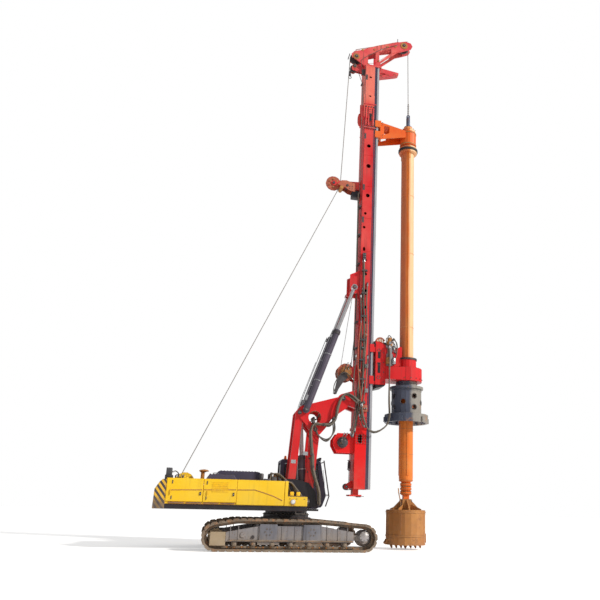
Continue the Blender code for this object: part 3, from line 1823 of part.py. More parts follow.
def foot_shapes():
    """The foot of the mast: cap plate, neck and pad."""
    pad = block(
        (foot_pad_x[0], -foot_half_width, mast_foot_z), (
            foot_pad_x[1], foot_half_width, mast_foot_z + foot_pad_thickness
        )
    )
    half = foot_half_width * foot_taper_share
    neck = block(
        (foot_neck_x[0], -half, mast_foot_z + foot_pad_thickness - merge_depth),
        (foot_neck_x[1], half, mast_bottom_z + merge_depth),
    )
    half = mast_half_width - mast_wall / 2
    cap = block(
        (mast_rear_x + mast_wall / 2, -half, mast_bottom_z + merge_depth / 2),
        (mast_front_x - mast_wall / 2, half, mast_bottom_z + foot_pad_thickness),
    )
    return [pad, neck, cap]


def stay_shapes():
    """The bracket behind the mast, with the cross shaft for the eyes of the two stay cylinders."""
    z_low, z_high = stay_bracket_z
    front = mast_rear_x + mast_wall / 2
    rear = stay_eye.x - pin_radius * 2
    outline = (
        (front, z_low),
        (front, z_high),
        (rear, z_high - (z_high - z_low) * bracket_drop_share),
        (rear, stay_eye.y - pin_radius),
        (stay_eye.x, stay_eye.y - pin_radius * 2),
    )
    shapes = []
    for side in side_signs:
        shapes.append(side_plate(outline, *sided(side, inner_plate_y, inner_plate_y + plate_thickness * 2)))
    reach = stay_y + stay_eye_width * stay_reach_share
    shapes.append(rod(at(stay_eye, -reach), at(stay_eye, reach), pin_radius))
    return shapes


def pulley_shapes():
    """The bracket of the mid pulley: back plate, two arms, a tie and a brace."""
    x, z, radius = sheave_places["mid_sheave"]
    low_z, high_z = pulley_arm_z
    rear = mast_rear_x + mast_wall / 2
    shapes = [sheave_pin(x, z, cheek_low + merge_depth)]
    for side in side_signs:
        outline = [(rear, low_z), (rear, high_z)]
        outline += arc_points((x, z), pulley_tip_radius, 90, 270, 6)
        shapes.append(side_plate(outline, *sided(side, cheek_low, cheek_high)))
    plate = block(
        (
            mast_rear_x - cheek_thickness, -cheek_low * 4, brace_foot_z
        ), (rear, cheek_low * 4, high_z + cheek_thickness)
    )
    foot = (mast_rear_x - merge_depth, 0, brace_foot_z + brace_radius * 2)
    brace = rod(foot, ((x + rear) / 2 + radius / 2, 0, low_z + merge_depth * 2), brace_radius, pin_sides)
    tie_x = (x + radius + rear) / 2
    tie = block(
        (tie_x - overrun, -cheek_low - merge_depth, low_z + merge_depth),
        (tie_x + overrun, cheek_low + merge_depth, high_z - overrun),
    )
    return shapes + [plate, brace, tie]


def make_mast():
    first, second = mast_split_z
    lower = mast_section(mast_bottom_z, first - seat)
    flange = mast_flange(first - flange_thickness, first - seat)
    lower = fuse(lower, flange, *foot_shapes(), *foot_sheave_shapes(), *crowd_cheeks())
    lower = cut(lower, *mast_hole_cutters(mast_lower_holes))
    part(lower, "mast_lower", "red_paint", "mast_pivot")
    tools = [
        mast_flange(first, first + flange_thickness), mast_flange(second - flange_thickness, second - seat)
    ]
    for side in side_signs:
        ear = [
            (mast_rear_x + merge_depth, mast_pivot.y - boom_eye_radius * 2),
            (mast_rear_x + merge_depth, mast_pivot.y + boom_eye_radius * 2),
        ]
        ear += arc_points(mast_pivot, boom_eye_radius, 100, 260, 8)
        bore = bore_points(mast_pivot, boom_pin_radius)
        tools.append(side_plate(ear, *sided(side, arm_low_y, arm_high_y), [bore]))
    tools += stay_shapes() + pulley_shapes() + aux_cheeks()
    middle = fuse(mast_section(first, second - seat), *tools)
    middle = cut(middle, *mast_hole_cutters(mast_middle_holes))
    part(middle, "mast_middle", "red_paint", "mast_pivot")
    upper = mast_section(second, mast_top_z)
    plates = []
    for side in side_signs:
        low, high = sided(side, mast_half_width - merge_depth, mast_half_width + splice_thickness)
        plates.append(
            block(
                (mast_rear_x - flange_reach, low, second + merge_depth),
                (mast_front_x - merge_depth, high, second + splice_height),
            )
        )
    upper = cut(fuse(upper, *plates), *mast_hole_cutters(mast_upper_holes))
    part(upper, "mast_upper", "red_paint", "mast_pivot")


make_mast()


# Mast head and sheaves
def make_sheaves():
    half = sheave_width / 2
    bore = (sheave_pin_radius + seat) / math.cos(math.pi / round_sides)
    for name, x, z, radius in sheaves:
        profile = (
            (bore, half),
            (radius, half),
            (radius - sheave_groove, 0),
            (radius, -half),
            (bore, -half),
        )
        wheel = turned(profile, y_axis(x, 0, z), round_sides, ring=True)
        part(wheel, name, "black_steel", name + "_pivot")


def head_places(shares):
    return placed(shares, head_origin + Vector((0, head_base_thickness)), head_length, head_height)


def make_mast_head():
    """Two side plates with windows, ties between them, pins for three sheaves, and the front guide arm."""
    outline = head_places(head_outline_share)
    windows = [head_places(head_window_share), head_places(head_front_window_share)]
    tools = []
    for side in side_signs:
        tools.append(
            side_plate(outline, *sided(side, head_half_width - head_plate, head_half_width), windows)
        )
    base = block(
        (head_base_x[0], -mast_half_width, mast_top_z + seat),
        (head_base_x[1], mast_half_width, mast_top_z + head_base_thickness + merge_depth),
    )
    for name in ("head_sheave_front", "head_sheave_rear"):
        x, z, radius = sheave_places[name]
        tools.append(sheave_pin(x, z, head_half_width - merge_depth))
    reach = head_half_width - merge_depth
    for x, z in head_places(head_tie_share):
        tools.append(rod((x, -reach, z), (x, reach, z), pin_radius, hole_sides))
    x, z, radius = sheave_places["aux_sheave"]
    tools.append(sheave_pin(x, z, cheek_low + merge_depth))
    for side in side_signs:
        cheek = (
            (x - radius * 0.5, z - radius * 0.5),
            (x + radius * 0.5, z - radius * 0.8),
            (mast_rear_x - running_gap, mast_top_z - radius),
            (mast_rear_x - running_gap, mast_top_z + head_base_thickness * 2),
            (x, z + radius * 1.2),
            (x - radius * 0.6, z + radius * 0.4),
        )
        tools.append(side_plate(cheek, *sided(side, cheek_low, cheek_high)))
    x_low, x_high = finger_x
    z_low, z_high = finger_z
    roll = finger_roll_radius
    front_z = z_high - roll
    finger = (
        (x_low, z_low),
        (x_high - roll, front_z - roll * 1.5),
        (x_high, front_z - roll),
        (x_high, front_z),
        (x_low, z_high),
        (x_low - flange_thickness, z_high),
        (x_low - flange_thickness, mast_top_z + head_base_thickness),
        (x_low - flange_thickness, mast_top_z + merge_depth),
        (x_low, mast_top_z + merge_depth),
    )
    slot = oval_points(finger_slot)
    tools.append(side_plate(finger, -finger_half_width, finger_half_width, [slot]))
    part(fuse(base, *tools), "mast_head", "red_paint", "mast_pivot")


make_sheaves()
make_mast_head()


# Winches on the rear of the mast
def make_mast_winches():
    table = (
        (
            "crowd_winch",
            crowd_x,
            crowd_z,
            crowd_half_length,
            crowd_radius,
            crowd_flange_radius,
            "black_steel",
        ),
        ("aux_winch", aux_x, aux_z, aux_half_length, aux_radius, aux_flange_radius, "red_paint"),
    )
    for name, x, z, half, core, flange_radius, finish_name in table:
        reach = half + running_gap + mast_winch_plate
        profile = drum_profile(half, core, flange_radius, small_shaft_radius, reach)
        part(turned(profile, y_axis(x, 0, z), round_sides), name, finish_name, name + "_pivot")


make_mast_winches()


# Kelly bar: the outer tube with its keys, the inner tube with its neck, the swivel above
def kelly_axis():
    return Matrix.Translation((kelly_x, 0, 0))


def make_kelly():
    """The outer tube with its neck flange and stop ring in one profile, and keys along its outside."""
    inner = kelly_radius - kelly_wall
    profile = (
        (inner, neck_flange_z[1]),
        (neck_flange_radius, neck_flange_z[1]),
        (neck_flange_radius, neck_flange_z[0]),
        (kelly_radius, neck_flange_z[0]),
        (kelly_radius, stop_ring_z[1]),
        (stop_ring_radius, stop_ring_z[1]),
        (stop_ring_radius, stop_ring_z[0]),
        (kelly_radius, stop_ring_z[0]),
        (kelly_radius, kelly_bottom_z + kelly_taper),
        (kelly_radius - kelly_wall / 2, kelly_bottom_z),
        (inner, kelly_bottom_z),
    )
    bar = turned(profile, kelly_axis(), kelly_sides, ring=True)
    keys = []
    for i in range(kelly_key_count):
        angle = 2 * math.pi * (i + 0.25) / kelly_key_count
        key = block(
            (kelly_radius - kelly_wall / 2, -kelly_key_width / 2, kelly_bottom_z + kelly_taper * 2),
            (kelly_radius + kelly_key_height, kelly_key_width / 2, stop_ring_z[0] + merge_depth),
        )
        key.data.transform(kelly_axis() @ Matrix.Rotation(angle, 4, "Z"))
        keys.append(key)
    part(fuse(bar, *keys), "kelly_outer", "orange_paint", "kelly_pivot")


def make_inner_kelly():
    guide_radius = (kelly_radius - kelly_wall) * math.cos(math.pi / kelly_sides) - seat
    ring_low, ring_high = inner_ring_z
    profile = [
        (inner_kelly_radius - inner_kelly_wall, inner_kelly_top_z),
        (inner_kelly_radius, inner_kelly_top_z),
        (inner_kelly_radius, ring_high),
        (guide_radius, ring_high),
        (guide_radius, ring_low),
        (inner_kelly_radius, ring_low),
        (inner_kelly_radius, neck_z),
    ]
    for i in range(neck_rings):
        top = neck_z - merge_depth - i * neck_ring_height
        profile.append((neck_ring_radius_small, top))
        profile.append((neck_ring_radius, top - neck_ring_height / 3))
        profile.append((neck_ring_radius, top - neck_ring_height * 2 / 3))
    bottom = neck_z - merge_depth - neck_rings * neck_ring_height
    profile.append((neck_ring_radius_small, bottom))
    profile.append((0, bottom))
    profile.append((0, neck_z))
    profile.append((inner_kelly_radius - inner_kelly_wall, neck_z))
    profile = profile[-2:-1] + profile[-1:] + profile[:-2]
    bar = turned(profile, kelly_axis(), round_sides)
    stub = block(
        (kelly_x - stub_half, -stub_half, stub_bottom_z), (
            kelly_x + stub_half, stub_half, bottom + merge_depth
        )
    )
    part(fuse(bar, stub), "kelly_inner", "steel_blue", "inner_kelly_pivot")


def make_swivel():
    foot = inner_kelly_top_z + seat
    top = foot + swivel_height
    flare = inner_kelly_radius * inner_flare_share
    body = turned(
        (
            (0, top),
            (swivel_radius * 0.7, top),
            (swivel_radius, top - swivel_radius / 2),
            (swivel_radius, foot + swivel_radius),
            (flare, foot + swivel_radius / 2),
            (flare, foot),
            (0, foot),
        ),
        kelly_axis(),
        pin_sides,
    )
    middle = (kelly_x, top + swivel_eye_height / 2)
    ear = side_plate(
        bar_outline(
            (kelly_x, top - merge_depth),
            middle,
            swivel_radius * swivel_stem_share,
            swivel_radius * swivel_head_share,
        ),
        -swivel_radius * swivel_eye_share,
        swivel_radius * swivel_eye_share,
        [ring_points(middle, swivel_radius * 0.4)],
    )
    part(fuse(body, ear), "swivel", "steel_blue", "swivel_pivot")


make_kelly()
make_inner_kelly()
make_swivel()


# Kelly guide and rotary drive, both on the mast's rails
def rail_shoes(z_middles, plate_x):
    """Slide shoes that reach round both rails from the rear face of a carriage."""
    shoes = []
    rail_low, rail_high = rail_y
    near_x = mast_front_x + shoe_block_clear
    for z in z_middles:
        z_low = z - shoe_block_height / 2
        z_high = z + shoe_block_height / 2
        for side in side_signs:
            spans = (
                (rail_low - shoe_block_clear - shoe_block_wall, rail_low - shoe_block_clear, near_x),
                (rail_high + shoe_block_clear, rail_high + shoe_block_clear + shoe_block_wall, near_x),
                (
                    rail_low - shoe_block_clear - shoe_block_wall / 2,
                    rail_high + shoe_block_clear + shoe_block_wall / 2,
                    rail_front_x + shoe_block_clear,
                ),
            )
            for i, (near, far, x) in enumerate(spans):
                low, high = sided(side, near, far)
                trim = merge_depth * i / 4
                shoes.append(block((x, low, z_low + trim), (plate_x + merge_depth, high, z_high - trim)))
    return shoes


def make_kelly_guide():
    tools = []
    top = guide_top_z
    front_x = kelly_x - guide_collar_radius * guide_front_share
    front_top = guide_collar_z[1] - guide_plate * guide_lip_share
    outline = (
        (guide_rear_x + merge_depth, guide_rear_bottom_z),
        (front_x, guide_front_bottom_z - guide_plate),
        (front_x, front_top),
        (guide_rear_x + merge_depth, top - merge_depth),
    )
    window = placed(guide_window_share, outline[0], front_x - guide_rear_x, top - guide_rear_bottom_z)
    for side in side_signs:
        low, high = sided(side, guide_plate_y - guide_plate, guide_plate_y)
        tools.append(side_plate(outline, low, high, [window]))
    tools.append(
        side_plate(
            (
                (guide_rear_x + merge_depth * 2, top - guide_plate),
                (front_x, front_top - guide_plate),
                (front_x, front_top + merge_depth / 2),
                (guide_rear_x + merge_depth * 2, top - merge_depth / 2),
            ),
            -guide_plate_y + merge_depth / 2,
            guide_plate_y - merge_depth / 2,
        )
    )
    rear = block(
        (guide_rear_x, -rail_y[1] - shoe_block_wall, guide_rear_bottom_z - merge_depth),
        (guide_rear_x + guide_plate, rail_y[1] + shoe_block_wall, top),
    )
    collar = rod(
        (kelly_x, 0, guide_collar_z[0]), (kelly_x, 0, guide_collar_z[1]), guide_collar_radius, kelly_sides
    )
    reach = shoe_block_height / 2 + merge_depth
    tools += rail_shoes((guide_rear_bottom_z + reach, top - reach), guide_rear_x)
    frame = fuse(rear, collar, *tools)
    bore_radius = (kelly_radius + kelly_key_height + running_gap) / math.cos(math.pi / kelly_sides)
    bore = rod(
        (kelly_x, 0, guide_rear_bottom_z - overrun), (kelly_x, 0, top + overrun), bore_radius, kelly_sides
    )
    part(cut(frame, bore), "kelly_guide", "orange_paint", "guide_pivot")


def make_drive():
    """The carriage plate on its slide shoes, the gearbox ring on an arm, and the collar above it."""
    z_low, z_high = drive_z
    foot = z_low + seat
    ring = rod((kelly_x, 0, foot), (kelly_x, 0, z_high), drive_radius, kelly_sides)
    collar = rod((kelly_x, 0, z_high - merge_depth), (kelly_x, 0, collar_top_z), collar_radius, kelly_sides)
    carriage_rear, carriage_front = carriage_x
    near = drive_radius - merge_depth * 2
    arm = deck_shape(
        (
            (carriage_front - merge_depth, -drive_arm_half_width),
            (kelly_x, -near),
            (kelly_x, near),
            (carriage_front - merge_depth, drive_arm_half_width),
        ),
        foot + merge_depth / 2,
        z_high - merge_depth / 2,
    )
    z_low, z_high = carriage_z
    half = carriage_half_width
    arch = half * carriage_arch_share
    outline = (
        (-half, z_low),
        (half, z_low),
        (half, z_high - arch * 2),
        (half - arch, z_high - arch),
        (half - arch * 2, z_high),
        (arch * 2 - half, z_high),
        (arch - half, z_high - arch),
        (-half, z_high - arch * 2),
    )
    third = half / 3
    sill = drive_z[1] + arch
    head = z_high - arch * 3
    window = ((-third, sill), (third, sill), (third, head), (-third, head))
    plate = cross_plate(outline, carriage_rear, carriage_front, [window])
    slope = (
        (carriage_front - carriage_slope, z_high + merge_depth),
        (carriage_front + merge_depth, z_high - carriage_slope),
        (carriage_front + merge_depth, z_high + merge_depth),
    )
    plate = cut(plate, side_plate(slope, -half - overrun, half + overrun))
    reach = shoe_block_height / 2 + merge_depth
    shoes = rail_shoes((z_low + reach, z_high - reach - arch * 2), carriage_rear)
    gussets = [side_plate(gusset_outline, *sided(side, *gusset_y), [gusset_window]) for side in side_signs]
    bore_low = (kelly_x, 0, drive_z[0] - overrun)
    bore = rod(bore_low, (kelly_x, 0, z_high), drive_bore_radius, kelly_sides)
    body = cut(fuse(ring, collar, arm, plate, *gussets, *shoes), bore)
    part(body, "rotary_drive", "red_paint", "drive_pivot")


def make_motors():
    """Three upright motors, joined by a manifold plate across the gearbox."""
    base_z = drive_z[1] + seat
    body_top = base_z + (motor_top_z - base_z) * motor_body_share
    x_low = min(x for x, y in motor_places)
    x_high = max(x for x, y in motor_places)
    y_high = max(y for x, y in motor_places)
    shapes = [
        block(
            (x_low - motor_head_radius, -y_high, base_z + merge_depth),
            (x_high + motor_head_radius / 2, y_high, base_z + manifold_height),
        )
    ]
    for x, y in motor_places:
        shapes.append(rod((x, y, base_z), (x, y, body_top), motor_body_radius))
        shapes.append(
            rod((x, y, body_top - merge_depth), (x, y, motor_top_z), motor_head_radius, hole_sides)
        )
    part(fuse(shapes[0], *shapes[1:]), "drive_motors", "frame_grey", "drive_pivot")


make_kelly_guide()
make_drive()
make_motors()


# Casing adapter below the drive
def make_adapter():
    inner = adapter_bore_radius
    wall = ring_radius - drum_radius
    top = drive_z[0] - seat
    profile = (
        (inner, top),
        (neck_radius, top),
        (neck_radius, neck_bottom_z),
        (ring_radius, neck_bottom_z),
        (ring_radius, ring_bottom_z),
        (drum_radius, ring_bottom_z),
        (drum_radius, drum_bottom_z),
        (adapter_flange_radius, drum_bottom_z),
        (adapter_flange_radius, adapter_bottom_z),
        (adapter_flange_radius - wall, adapter_bottom_z),
        (drum_radius - wall / 2, drum_bottom_z - wall),
        (drum_radius - wall / 2, ring_bottom_z),
        (inner, ring_bottom_z),
    )
    shape = turned(profile, kelly_axis(), kelly_sides, ring=True)
    lugs = []
    for i in range(adapter_lugs):
        angle = 2 * math.pi * i / adapter_lugs
        lug = block(
            (adapter_flange_radius - wall / 2, -adapter_lug, adapter_bottom_z + merge_depth),
            (adapter_flange_radius + adapter_lug, adapter_lug, drum_bottom_z - adapter_lug * 2),
        )
        lug.data.transform(kelly_axis() @ Matrix.Rotation(angle, 4, "Z"))
        lugs.append(lug)
    holes = []
    for i in range(adapter_hole_columns):
        angle = adapter_hole_turn + 2 * math.pi * i / adapter_hole_columns
        for z in adapter_hole_rows[i % len(adapter_hole_rows)]:
            hole = rod((inner, 0, z), (ring_radius, 0, z), adapter_hole_radius, hole_sides)
            hole.data.transform(kelly_axis() @ Matrix.Rotation(angle, 4, "Z"))
            holes.append(hole)
    part(cut(fuse(shape, *lugs), *holes), "casing_adapter", "steel_blue", "adapter_pivot")


make_adapter()


# Drilling bucket on the inner kelly
def make_bucket():
    bottom = bucket_bottom_z
    top = bucket_top_z
    inner = bucket_radius - bucket_wall
    profile = (
        (0, top),
        (bucket_radius - bucket_wall, top),
        (bucket_radius, top - bucket_wall),
        (bucket_radius, bottom),
        (inner, bottom),
        (inner, top - bucket_lid),
        (0, top - bucket_lid),
    )
    shell = turned(profile, kelly_axis(), kelly_sides)
    socket_top = top + ear_height
    half = socket_half
    socket = block((kelly_x - half, -half, top - merge_depth), (kelly_x + half, half, socket_top))
    tools = [socket]
    for turn in range(4):
        outline = placed(ear_outline_share, (0, top - merge_depth), ear_reach, ear_height)
        ear = side_plate(outline, -ear_thickness / 2, ear_thickness / 2)
        ear.data.transform(kelly_axis() @ Matrix.Rotation(math.pi / 2 * turn, 4, "Z"))
        tools.append(ear)
    bucket = fuse(shell, *tools)
    hollow = stub_half + seat
    well = block(
        (kelly_x - hollow, -hollow, stub_bottom_z - seat), (kelly_x + hollow, hollow, socket_top + overrun)
    )
    hinge_x = kelly_x - bucket_radius - door_hinge_radius - running_gap
    near = door_hinge_length / 2 + running_gap
    for side in side_signs:
        low, high = sided(side, near, near + ear_thickness / 2)
        root = (hinge_x + door_hinge_radius * 2, bottom + door_hinge_radius * 3)
        ears = bar_outline((hinge_x, bottom), root, door_hinge_radius, door_hinge_radius)
        bucket = fuse(bucket, side_plate(ears, low, high))
    part(cut(bucket, well), "bucket", "rust", "inner_kelly_pivot")
    hinge = pivot("bucket_door_pivot", (hinge_x, 0, bottom), "inner_kelly_pivot")
    door_low = bottom - bucket_door_thickness
    door = rod((kelly_x, 0, door_low), (kelly_x, 0, bottom - seat), bucket_radius, kelly_sides)
    tip = rod(
        (
            kelly_x, 0, door_low + merge_depth
        ), (kelly_x, 0, tip_bottom_z), tip_radius, pin_sides, tip_radius * tip_point_share
    )
    half = door_hinge_length / 2
    leaf = block(
        (hinge_x, -half, door_low + merge_depth / 2),
        (kelly_x - bucket_radius * door_root_share, half, bottom - seat - merge_depth / 2),
    )
    knuckle = rod((hinge_x, -half, bottom), (hinge_x, half, bottom), door_hinge_radius)
    tools = [tip, leaf, knuckle]
    for i in range(tooth_count):
        share = (i + 1) / (tooth_count + 1) * 2 - 1
        if abs(share) * bucket_radius < tip_radius * tip_clear_share:
            continue
        x = kelly_x + share * bucket_radius
        tooth = side_plate(
            (
                (x - tooth_width / 2, door_low + merge_depth),
                (x + tooth_width / 2, door_low + merge_depth),
                (x + tooth_width * 0.7, door_low - tooth_length * 0.6),
                (x + tooth_width * 0.3, door_low - tooth_length),
                (x - tooth_width / 2, door_low - tooth_length * 0.3),
            ),
            -tooth_width / 2,
            tooth_width / 2,
        )
        tools.append(tooth)
    part(fuse(door, *tools), "bucket_door", "rust", hinge)


make_bucket()
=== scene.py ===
"""Looks of a tracked rotary piling rig: finishes, ropes, hoses, fittings, glass, light and camera."""
import json
from math import cos, pi, radians, sin

import bmesh
import bpy
from mathutils import Matrix, Vector
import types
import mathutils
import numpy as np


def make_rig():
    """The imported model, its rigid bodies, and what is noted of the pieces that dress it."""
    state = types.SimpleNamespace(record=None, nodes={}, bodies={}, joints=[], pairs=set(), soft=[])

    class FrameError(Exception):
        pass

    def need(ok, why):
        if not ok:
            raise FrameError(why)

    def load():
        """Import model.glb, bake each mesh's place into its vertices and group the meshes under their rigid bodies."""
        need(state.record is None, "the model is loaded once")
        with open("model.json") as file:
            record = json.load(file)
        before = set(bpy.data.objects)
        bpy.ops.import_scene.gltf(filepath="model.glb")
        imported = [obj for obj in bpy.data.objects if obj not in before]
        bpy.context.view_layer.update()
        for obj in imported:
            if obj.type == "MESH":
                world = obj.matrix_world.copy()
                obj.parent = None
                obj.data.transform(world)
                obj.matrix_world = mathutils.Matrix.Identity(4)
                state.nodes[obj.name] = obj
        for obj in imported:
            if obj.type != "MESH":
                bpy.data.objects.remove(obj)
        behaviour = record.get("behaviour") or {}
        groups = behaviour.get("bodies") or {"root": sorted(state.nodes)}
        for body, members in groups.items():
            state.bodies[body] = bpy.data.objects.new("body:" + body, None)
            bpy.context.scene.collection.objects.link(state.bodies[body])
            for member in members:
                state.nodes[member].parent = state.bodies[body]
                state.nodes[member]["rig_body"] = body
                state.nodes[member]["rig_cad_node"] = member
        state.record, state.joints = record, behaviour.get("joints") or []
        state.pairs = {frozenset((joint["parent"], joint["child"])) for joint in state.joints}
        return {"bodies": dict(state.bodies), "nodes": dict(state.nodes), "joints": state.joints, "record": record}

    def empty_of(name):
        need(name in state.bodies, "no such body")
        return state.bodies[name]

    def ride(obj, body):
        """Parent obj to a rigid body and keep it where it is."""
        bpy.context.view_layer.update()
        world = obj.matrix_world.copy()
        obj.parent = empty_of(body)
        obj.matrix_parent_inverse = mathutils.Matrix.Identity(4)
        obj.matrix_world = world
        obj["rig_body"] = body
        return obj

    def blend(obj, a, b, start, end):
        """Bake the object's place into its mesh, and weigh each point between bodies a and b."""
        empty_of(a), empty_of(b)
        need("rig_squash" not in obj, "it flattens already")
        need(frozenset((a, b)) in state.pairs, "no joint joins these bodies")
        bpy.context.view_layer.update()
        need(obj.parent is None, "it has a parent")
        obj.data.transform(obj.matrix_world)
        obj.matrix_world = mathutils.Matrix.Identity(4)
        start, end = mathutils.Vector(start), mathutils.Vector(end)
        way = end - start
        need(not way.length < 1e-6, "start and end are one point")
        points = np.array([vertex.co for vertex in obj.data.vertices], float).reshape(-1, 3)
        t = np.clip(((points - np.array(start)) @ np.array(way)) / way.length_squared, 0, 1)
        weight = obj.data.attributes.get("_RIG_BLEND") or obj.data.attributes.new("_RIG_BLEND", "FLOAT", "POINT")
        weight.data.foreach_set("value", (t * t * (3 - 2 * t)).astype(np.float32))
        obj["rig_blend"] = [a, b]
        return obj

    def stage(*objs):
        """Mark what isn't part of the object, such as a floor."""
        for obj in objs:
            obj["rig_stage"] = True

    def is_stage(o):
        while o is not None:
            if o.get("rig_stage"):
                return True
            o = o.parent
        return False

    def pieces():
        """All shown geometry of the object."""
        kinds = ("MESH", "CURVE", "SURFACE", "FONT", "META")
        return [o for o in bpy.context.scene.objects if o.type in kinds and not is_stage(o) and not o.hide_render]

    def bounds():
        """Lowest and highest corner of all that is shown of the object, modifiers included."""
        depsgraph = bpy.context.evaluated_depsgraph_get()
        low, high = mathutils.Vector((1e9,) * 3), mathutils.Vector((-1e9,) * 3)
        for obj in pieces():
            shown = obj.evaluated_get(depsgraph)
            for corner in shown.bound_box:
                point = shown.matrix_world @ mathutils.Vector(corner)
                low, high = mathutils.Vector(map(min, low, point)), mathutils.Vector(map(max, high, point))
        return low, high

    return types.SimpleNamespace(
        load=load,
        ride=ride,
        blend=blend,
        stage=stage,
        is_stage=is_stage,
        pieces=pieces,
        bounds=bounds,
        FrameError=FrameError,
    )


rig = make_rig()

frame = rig.load()
cad_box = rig.bounds()

scene = bpy.context.scene
scene.view_settings.view_transform = "Standard"

# Places below are given in metres from the slewing axis, which stands at this x
SLEW_X = -0.41
SIDES = (-1, 1)
TURN = 2 * pi

# Camera, fitted to the photograph
CAMERA_PLACE = (-3.148, -23.349, 1.345)
CAMERA_PITCH = radians(17.493)
CAMERA_YAW = radians(13.588)
CAMERA_ROLL = radians(1.265)
CAMERA_LENS = 39.546
SENSOR = 36.0
CAMERA_SHIFT = -0.1241
FAR = 400


def held(name, data):
    """An object in the scene for a mesh, a light or a camera."""
    holder = bpy.data.objects.new(name, data)
    scene.collection.objects.link(holder)
    return holder


def make_camera():
    camera = bpy.data.cameras.new("camera")
    camera.lens = CAMERA_LENS
    camera.sensor_width = SENSOR
    camera.shift_x = CAMERA_SHIFT
    camera.clip_end = FAR
    holder = held("camera", camera)
    across = cos(CAMERA_PITCH)
    forward = Vector((sin(CAMERA_YAW) * across, cos(CAMERA_YAW) * across, sin(CAMERA_PITCH)))
    level = Vector((cos(CAMERA_YAW), -sin(CAMERA_YAW), 0))
    above = level.cross(forward)
    right = level * cos(CAMERA_ROLL) + above * sin(CAMERA_ROLL)
    up = above * cos(CAMERA_ROLL) - level * sin(CAMERA_ROLL)
    turn = Matrix((right, up, -forward)).transposed().to_4x4()
    holder.matrix_world = Matrix.Translation(CAMERA_PLACE) @ turn
    scene.camera = holder


# Node helpers
class Wire:
    """A node's output. Adding to it, multiplying it and so on puts a maths node behind it."""

    def __init__(self, tree, socket):
        self.tree = tree
        self.socket = socket

    def __add__(self, other):
        return calc("ADD", self, other)

    def __radd__(self, other):
        return calc("ADD", other, self)

    def __sub__(self, other):
        return calc("SUBTRACT", self, other)

    def __rsub__(self, other):
        return calc("SUBTRACT", other, self)

    def __mul__(self, other):
        return calc("MULTIPLY", self, other)

    def __truediv__(self, other):
        return calc("DIVIDE", self, other)

    def __rtruediv__(self, other):
        return calc("DIVIDE", other, self)

    def spread(self, low, high, to_low=0.0, to_high=1.0):
        """The value moved from one span to another and clamped."""
        return wire(self.tree, "ShaderNodeMapRange", 0, {0: self, 1: low, 2: high, 3: to_low, 4: to_high})


def fill(tree, socket, value):
    if isinstance(value, Wire):
        tree.links.new(value.socket, socket)
    else:
        socket.default_value = value


def node(tree, kind, sockets=None, **settings):
    """A node with its settings; each socket is filled with a value or linked to another node's output."""
    made = tree.nodes.new(kind)
    for key, value in settings.items():
        setattr(made, key, value)
    for key, value in (sockets or {}).items():
        fill(tree, made.inputs[key], value)
    return made


def wire(tree, kind, output, sockets=None, **settings):
    return Wire(tree, node(tree, kind, sockets, **settings).outputs[output])


def calc(operation, *values):
    tree = next(value.tree for value in values if isinstance(value, Wire))
    return wire(tree, "ShaderNodeMath", 0, dict(enumerate(values)), operation=operation)


def spoken(inputs):
    """Socket labels from argument names."""
    return {key.replace("_", " "): value for key, value in inputs.items()}


def mix(share, *colours):
    """The second colour over the first by a share."""
    first, second = (value if isinstance(value, Wire) else (*value, 1) for value in colours)
    return wire(share.tree, "ShaderNodeMix", 2, {0: share, 6: first, 7: second}, data_type="RGBA")


def stretched(vector, factors):
    return wire(vector.tree, "ShaderNodeVectorMath", 0, {0: vector, 1: factors}, operation="MULTIPLY")


def axes(vector):
    parts = node(vector.tree, "ShaderNodeSeparateXYZ", {0: vector}).outputs
    return [Wire(vector.tree, part) for part in parts]


def clouds(vector, scale, detail=3.0, rough=0.55):
    sockets = {"Vector": vector, "Scale": scale, "Detail": detail, "Roughness": rough}
    return wire(vector.tree, "ShaderNodeTexNoise", "Fac", sockets)


def cells(vector, scale):
    return wire(vector.tree, "ShaderNodeTexVoronoi", "Distance", {"Vector": vector, "Scale": scale})


def sockets_of(tree, way, kinds):
    for label, (kind, value) in kinds.items():
        made = tree.interface.new_socket(label, in_out=way, socket_type=f"NodeSocket{kind}")
        if value is not None:
            made.default_value = value


def effect(name, outputs, build, **numbers):
    """A shader group that takes a vector and some numbers; build makes its outputs from them, in order."""
    tree = bpy.data.node_groups.new(name, "ShaderNodeTree")
    inputs = {label: ("Float", value) for label, value in spoken(numbers).items()}
    sockets_of(tree, "INPUT", {"Vector": ("Vector", None), **inputs})
    sockets_of(tree, "OUTPUT", {label: ("Float", None) for label in outputs.split()})
    given = node(tree, "NodeGroupInput").outputs
    put = node(tree, "NodeGroupOutput").inputs
    made = build(*[Wire(tree, given[label]) for label in ("Vector", *inputs)])
    for label, value in zip(outputs.split(), made):
        fill(tree, put[label], value)
    return tree


def weather_build(place, scale, dust_top):
    """Colour drift, rain streaks, dust that is thicker low down, and a fine grain."""
    scaled = wire(place.tree, "ShaderNodeVectorMath", 0, {0: place, 3: scale}, operation="SCALE")
    tone = clouds(scaled, 0.9, 5.0)
    falls = clouds(stretched(scaled, (7.0, 7.0, 0.45)), 1.6, 4.0, 0.62)
    patches = clouds(scaled, 4.5, 5.0, 0.65)
    low = (axes(place)[2] / dust_top).spread(1.0, 0.0)
    streaks = falls.spread(0.52, 0.74) * tone.spread(0.3, 0.6)
    return tone.spread(0.35, 0.68), streaks, low * patches.spread(0.30, 0.62), clouds(place, 55.0, 2.0)


